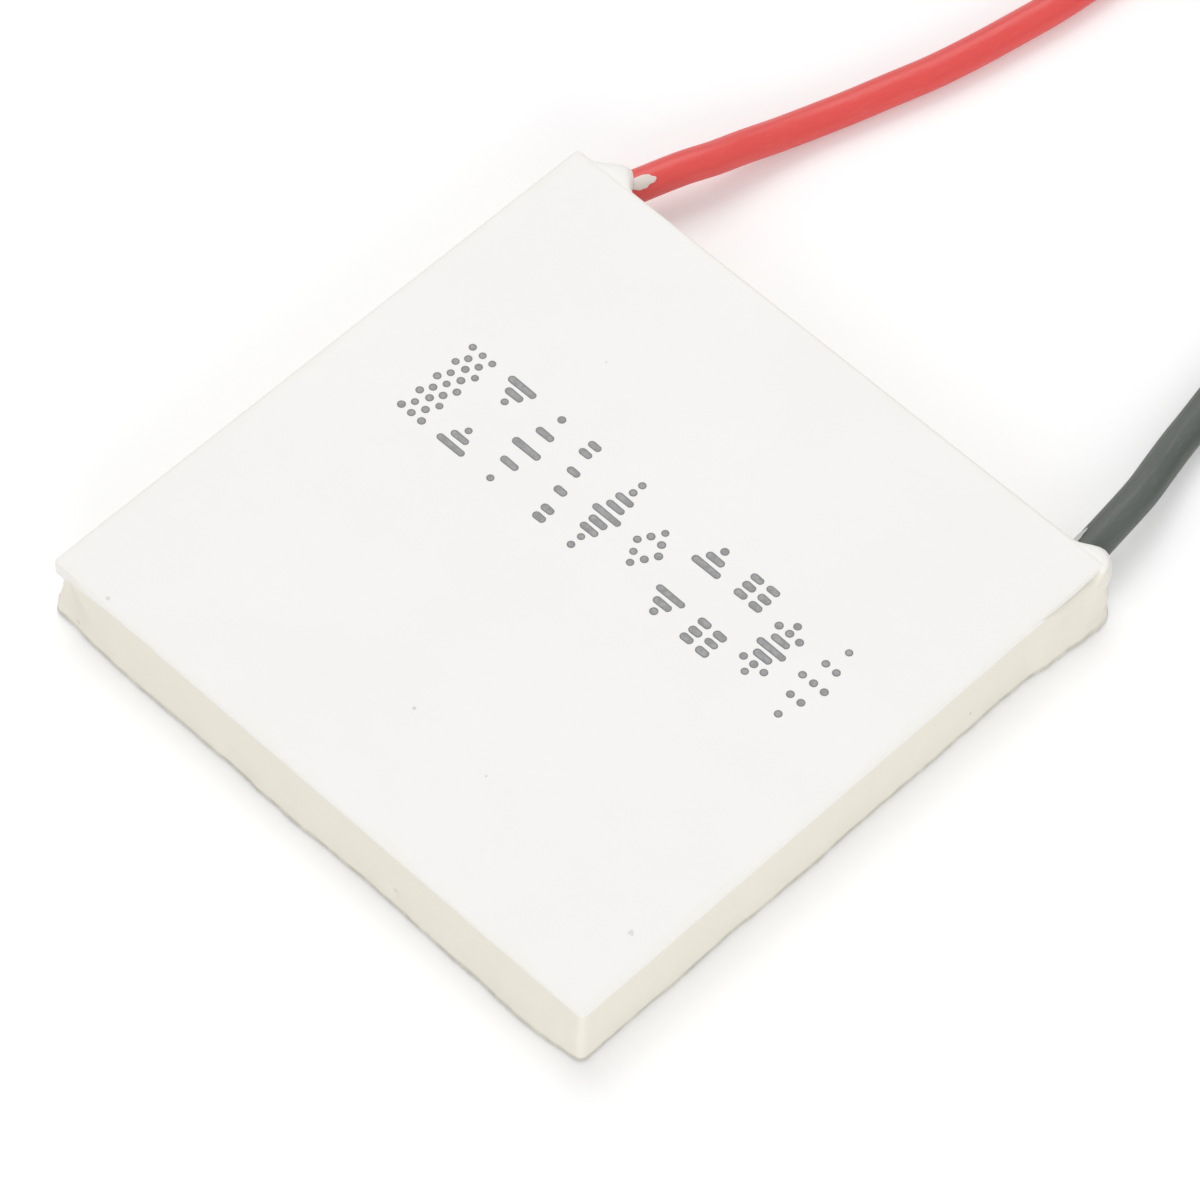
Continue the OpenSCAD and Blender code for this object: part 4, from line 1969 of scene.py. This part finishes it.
    def _shape(self, bead: Workpiece) -> None:
        """Leans the skin out to its foot, hollows the bare corner and bares the plate's edge at another.

        Args:
            bead: The bead.
        """
        places = bead.places()
        amounts: list[Vector] = []
        for co in places:
            way, out = self._outwards(co)
            plain = self.foot_out + (self.top_out - self.foot_out) * (co.z - self.shy) / (self.top - self.shy)
            skin = smoothstep(*self.skin, out)
            by = way * (self._reach(co, way) - plain)
            for dent in self.dents:
                pull = 1 - (co - Vector(dent.place)).length / dent.reach
                by += Vector(dent.by) * smoothstep(0.0, 1.0, pull)
            aside = self.bare_out * smoothstep(*self.bare_out_up, co.z)
            down = -self.bare_drop * smoothstep(*self.bare_drop_up, co.z)
            by += Vector((aside, 0, down)) * self._bare(co, way)
            amounts.append(by * skin)
        for index, axis in enumerate("XYZ"):
            bead.push(axis, [by[index] for by in amounts])

    def _lumps(self, bead: Workpiece) -> None:
        """Makes the bead as uneven as a hand-laid one, most at its foot.

        Args:
            bead: The bead.
        """
        for size, depth in self.lumps:
            texture = bpy.data.textures.new(f"lumps_{size}", "CLOUDS")
            texture.noise_scale = size * MM
            texture.noise_depth = 2
            for index, axis in enumerate("XY"):
                weights = []
                for co in bead.places():
                    way, out = self._outwards(co)
                    up = 1 - self.lumps_less * smoothstep(*self.lumps_up, co.z)
                    fade, gone = (self.top - below for below in self.lumps_top)
                    skin = smoothstep(*self.lumps_skin, out) * (1 - smoothstep(fade, gone, co.z))
                    weights.append(abs(way[index]) * up * skin)
                bead.apply(
                    "DISPLACE",
                    texture=texture,
                    texture_coords="LOCAL",
                    direction=axis,
                    vertex_group=bead.weigh("lumps", weights),
                    strength=depth * MM,
                    mid_level=0.5,
                )
                bead.obj.vertex_groups.clear()

    def _bare(self, co: Vector, way: Vector) -> float:
        """How far a place belongs to the stretch where the cold plate's edge shows above the bead."""
        return smoothstep(*self.bare_from, co.y) * (1 - smoothstep(*self.bare_to, co.y)) * max(0.0, way.x)

    def _film_and_shade(self, co: Vector) -> float:
        """How thin and white the silicone is at a place, or below 0 how much painted shade darkens its
        crease.

        It is wiped thin over the rim, at the ends of the bare stretches and over the tops of the two mounds.

        Args:
            co: The place, in millimetres.

        Returns:
            1 where it is all film, and -1 where it is all painted shade.
        """
        way, out = self._outwards(co)
        wipe = self.wiping
        near = self._from_corner(co, -1)
        low = wipe.low + (self.top - wipe.below_top - wipe.low) * smoothstep(*wipe.fade, near)
        rim = smoothstep(low, min(low + wipe.soft, self.top - wipe.margin), co.z)
        start, full = (self.half + past for past in wipe.mound_out)
        mound = smoothstep(start, full, co.y) * smoothstep(*wipe.mound_up, co.z)
        edge = smoothstep(*wipe.edge_up, co.z) * (1 - smoothstep(*wipe.edge_out, out))
        # painted shade in the crease under the bare plate at the front left corner and on the ledge under the
        # bared edge
        corner = 1 - smoothstep(*wipe.crease_near, near)
        crease_shade = wipe.crease_shade * corner * smoothstep(*wipe.crease_up, co.z)
        crease_shade *= 1 - smoothstep(*wipe.crease_end, co.z)
        ledge_shade = wipe.ledge_shade * self._bare(co, way) * smoothstep(*wipe.ledge_up, co.z)
        painted_shade = max(crease_shade, ledge_shade * (1 - smoothstep(*wipe.ledge_out, out)))
        return -painted_shade if painted_shade > wipe.least else max(rim, mound, edge)


@dataclass
class LeadSmear:
    """A small smear of sealant that was wiped onto a lead.

    Attributes:
        lead: The lead that it lies on.
        start: Where it starts along the lead, from the plates' edge.
        length: Its length.
        width: Its width.
        aside: How far its middle lies to the side of the lead's top, to the right seen along the lead.
        finish: Its finish, which takes on something of the lead's colour.
        lift: How thick it is in the middle.
        sink: How far its edge lies under the insulation's skin.
        rings: Rings that it is divided into.
    """

    lead: Lead
    start: float
    length: float
    width: float
    aside: float
    finish: Silicone
    lift: float = 0.05
    sink: float = 0.008
    rings: int = 4

    def build(self, wardrobe: Wardrobe) -> bpy.types.Object:
        """Builds the smear from a round patch, laid on the lead.

        Args:
            wardrobe: The finishes.

        Returns:
            The piece.
        """
        x, y, _ = self.lead.route[1]
        way = Vector((x, y, 0)).normalized()
        aside = Vector((way.y, -way.x, 0))
        middle = self.lead.exit() + way * (self.start + self.length / 2) + aside * self.aside
        middle.z += self.lead.diameter
        deselect_all()
        bpy.ops.mesh.primitive_circle_add(vertices=36, radius=0.5 * MM, fill_type="NGON")
        smear = Workpiece.from_active(f"{self.lead.name}_sealant_smear")

        def ragged(co: Vector) -> float:
            """How much further out than a circle the outline goes."""
            turn = math.atan2(co.y, co.x)
            return 0.12 * math.sin(3 * turn + 0.7) + 0.07 * math.sin(5 * turn) + 0.05 * math.cos(9 * turn)

        smear.pick(Pick.FACE, lambda mid, normal: True)
        for _ in range(self.rings):
            smear.inset(0.1)
        amounts = [co * ragged(co) for co in smear.places()]
        smear.push("X", [by.x for by in amounts])
        smear.push("Y", [by.y for by in amounts])
        turn = Matrix((way, aside, (0, 0, 1))).transposed().to_4x4()
        size = Matrix.Diagonal((self.length, self.width, 1.0, 1.0))
        smear.place(Matrix.Translation(metres(middle)) @ turn @ size)
        downwards = {"use_project_z": True, "use_negative_direction": True, "use_positive_direction": False}
        insulation = bpy.data.objects[f"{self.lead.name}_insulation"]
        smear.apply("SHRINKWRAP", target=insulation, wrap_method="PROJECT", **downwards)

        def bulge(co: Vector) -> float:
            """Thickness, from just under the insulation's skin at the edge to full in the middle.

            Args:
                co: The place, in millimetres.

            Returns:
                The thickness there, in millimetres.
            """
            arm = co - middle
            out = math.hypot(arm.dot(way) / self.length, arm.dot(aside) / self.width) * 2
            return self.lift * (1 - out**2) - self.sink

        smear.push("Z", [bulge(co) for co in smear.places()])
        smear.apply("SOLIDIFY", thickness=0.05 * MM, offset=-1.0)
        smear.apply("SUBSURF", levels=1, render_levels=1)
        smear.weld()
        smear.smooth(60.0)
        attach(smear.obj, BODY)
        wardrobe.dress(smear.obj, self.finish)
        return smear.obj


# --- Printed marks --------------------------------------------------------------------------------


class Motif(Enum):
    """Plain dot-matrix ornaments, five dots wide and nine tall; a run of dots prints as one bar."""

    DIAMOND = ("..#..", "..#..", ".###.", ".###.", "#####", ".###.", ".###.", "..#..", "..#..")
    LATTICE = ("#.#.#", ".#.#.", "#.#.#", ".#.#.", "#.#.#", ".#.#.", "#.#.#", ".#.#.", "#.#.#")
    SQUARES = ("##.##", "##.##", "##.##", ".....", ".....", ".....", "##.##", "##.##", "##.##")
    STAIRS = ("##...", "##...", ".....", ".##..", ".....", "..##.", ".....", "...##", "...##")
    ARROWS = ("..#..", ".###.", "#####", ".....", ".....", ".....", "#####", ".###.", "..#..")
    LOZENGE = ("..#..", ".....", ".###.", ".....", "#####", ".....", ".###.", ".....", "..#..")
    SPECKS = ("..#..", ".....", ".#.#.", ".....", "#.#.#", ".....", ".#.#.", ".....", "..#..")
    RING = (".....", ".....", "..#..", ".#.#.", "#...#", ".#.#.", "..#..", ".....", ".....")
    TWINS = ("#####", ".###.", "..#..", ".....", ".....", ".....", "..#..", ".###.", "#####")
    STAR = (".....", "..#..", "#.#.#", ".###.", "#####", ".###.", "#.#.#", "..#..", ".....")


@dataclass
class PrintedMarks:
    """A row of plain dot-matrix ornaments in raised grey ink on the cold face.

    Attributes:
        motifs: The ornaments, from left to right.
        first: Middle of the first one.
        pitch: Distance from one to the next.
        dot_d: Diameter of a dot.
        across, down: Distances between dots.
        thick: Thickness of the ink.
        dot_sides: Sides of a dot.
        rim_w, slope_w: Width of a dot's raised rim, and of the slope to its sunk middle.
        sizes: Least and greatest size of a dot.
        stray: How far a dot strays from its place, along X and Y.
        seed: Seed of the small irregularities.
    """

    motifs: tuple[Motif, ...] = (
        Motif.LATTICE, Motif.TWINS, Motif.LOZENGE, Motif.STAIRS, Motif.DIAMOND,
        Motif.RING, Motif.ARROWS, Motif.SQUARES, Motif.STAR, Motif.SPECKS,
    )  # fmt: skip
    first: Span = (-10.12, 2.45)
    pitch: float = 2.31
    dot_d: float = 0.36
    across: float = 0.29
    down: float = 0.515
    thick: float = 0.012
    dot_sides: int = 14
    rim_w: float = 0.03
    slope_w: float = 0.045
    sizes: Span = (0.93, 1.07)
    stray: Span = (0.02, 0.025)
    seed: int = 7

    def _stamp(self, run: int) -> Workpiece:
        """Models a bar of a number of dots, standing on the origin's plane with its first dot there.

        Args:
            run: Dots in the bar.

        Returns:
            The bar.
        """
        deselect_all()
        radius = self.dot_d / 2 * MM
        bpy.ops.mesh.primitive_circle_add(vertices=self.dot_sides, radius=radius, fill_type="NGON")
        stamp = Workpiece.from_active(f"stamp_{run}")
        if run > 1:
            stamp.pick(Pick.VERT, lambda co, _: co.x > 0.001)
            stamp.move(((run - 1) * self.across, 0, 0))
        stamp.pick(Pick.FACE, lambda mid, normal: True)
        stamp.extrude((0, 0, self.thick * 0.7))
        stamp.inset(self.rim_w, self.thick * 0.3)
        stamp.inset(self.slope_w, -self.thick * 0.45)
        sunk = self.thick * 0.55  # what the extrusion and both insets leave
        stamp.paint("rim", [0.0 if abs(co.z - sunk) < 0.01 * self.thick else 1.0 for co in stamp.places()])
        stamp.weld()
        return stamp

    @staticmethod
    def _runs(motif: Motif) -> Iterable[tuple[int, int, int]]:
        """The row, the first column and the length of each run of dots.

        Args:
            motif: The ornament.

        Returns:
            Row, first column and length, run by run.
        """
        for row, dots in enumerate(motif.value):
            for match in re.finditer("#+", dots):
                yield row, match.start(), len(match.group())

    def build(self, wardrobe: Wardrobe) -> bpy.types.Object:
        """Prints the row.

        Args:
            wardrobe: The finishes.

        Returns:
            The piece.
        """
        _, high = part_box("cold_side_plate")
        stamps = {run: self._stamp(run) for run in range(1, 6)}
        dice = random.Random(self.seed)
        prints: list[Workpiece] = []
        for i, motif in enumerate(self.motifs):
            x0 = self.first[0] + i * self.pitch - 2 * self.across
            for row, col, run in self._runs(motif):
                mark = stamps[run].copy(f"mark_{len(prints)}")
                size = dice.uniform(*self.sizes)
                shift = Vector((*(dice.uniform(-most, most) for most in self.stray), 0))
                y = self.first[1] + (4 - row) * self.down
                spot = metres((x0 + col * self.across, y, high.z / MM)) + shift * MM
                grow = Matrix.Diagonal((size if run == 1 else 1.0, size, 1.0, 1.0))
                mark.place(Matrix.Translation(spot) @ grow)
                prints.append(mark)
        for stamp in stamps.values():
            bpy.data.objects.remove(stamp.obj)
        row = join(prints, "cold_face_marks")
        row.smooth(30.0)
        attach(row.obj, BODY)
        wardrobe.dress(row.obj, INK)
        return row.obj


# --- Inner parts ----------------------------------------------------------------------------------


@dataclass
class InnerParts:
    """The tabs, pellets, conductors and solder joints, whose solids stay as they are.

    Attributes:
        finishes: Finish by the start of a node's name.
    """

    finishes: tuple[tuple[str, Finish], ...] = (
        ("hot_tabs", COPPER),
        ("cold_tabs", COPPER),
        ("cold_link_tabs", COPPER),
        ("n_pellets", N_PELLET),
        ("p_pellets", P_PELLET),
        ("red_conductor", TINNED),
        ("black_conductor", TINNED),
        ("red_solder_joint", SOLDER),
        ("black_solder_joint", SOLDER),
    )

    def build(self, nodes: dict[str, bpy.types.Object], wardrobe: Wardrobe) -> int:
        """Dresses the nodes.

        Args:
            nodes: The frame's nodes.
            wardrobe: The finishes.

        Returns:
            How many were dressed.
        """
        dressed = 0
        for name, obj in sorted(nodes.items()):
            for start, finish in self.finishes:
                if name.startswith(start):
                    wardrobe.dress(obj, finish)
                    dressed += 1
        return dressed


def report(obj: bpy.types.Object) -> None:
    """Logs a piece's name and size.

    Args:
        obj: The piece.
    """
    triangles = sum(len(p.vertices) - 2 for p in obj.data.polygons)
    LOG.info("%s: %d triangles", obj.name, triangles)


def main() -> None:
    """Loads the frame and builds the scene."""
    logging.basicConfig(level=logging.INFO, format="%(message)s")
    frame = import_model()
    Viewpoint().build()
    wardrobe = Wardrobe()
    red = Lead(LeadColour.RED, RED_ROUTE, turns=3.25, exit_shift=0.0, finish=RED_PVC)
    black = Lead(LeadColour.BLACK, BLACK_ROUTE, turns=3.6, exit_shift=0.25, finish=BLACK_PVC)
    ties = CoilTie().build((red, black), wardrobe)
    for lead, tie in zip((red, black), ties):
        for piece in (tie, *lead.build(wardrobe, tie)):
            report(piece)
    for side, finish in (("cold", COLD_CERAMIC), ("hot", HOT_CERAMIC)):
        plate = CeramicPlate(f"{side}_ceramic_plate", f"{side}_side_plate", finish, outer_up=side == "cold")
        report(plate.build(wardrobe))
    report(EdgeSealant().build(wardrobe))
    for smear in (
        LeadSmear(red, start=0.95, length=1.1, width=0.5, aside=0.33, finish=RED_SMEAR),
        LeadSmear(black, start=0.3, length=1.2, width=0.26, aside=-0.5, finish=GREY_SMEAR, lift=0.03),
    ):
        report(smear.build(wardrobe))
    report(PrintedMarks().build(wardrobe))
    LOG.info("inner parts dressed: %d", InnerParts().build(frame["nodes"], wardrobe))
    Studio().build()


if __name__ == "__main__":
    main()
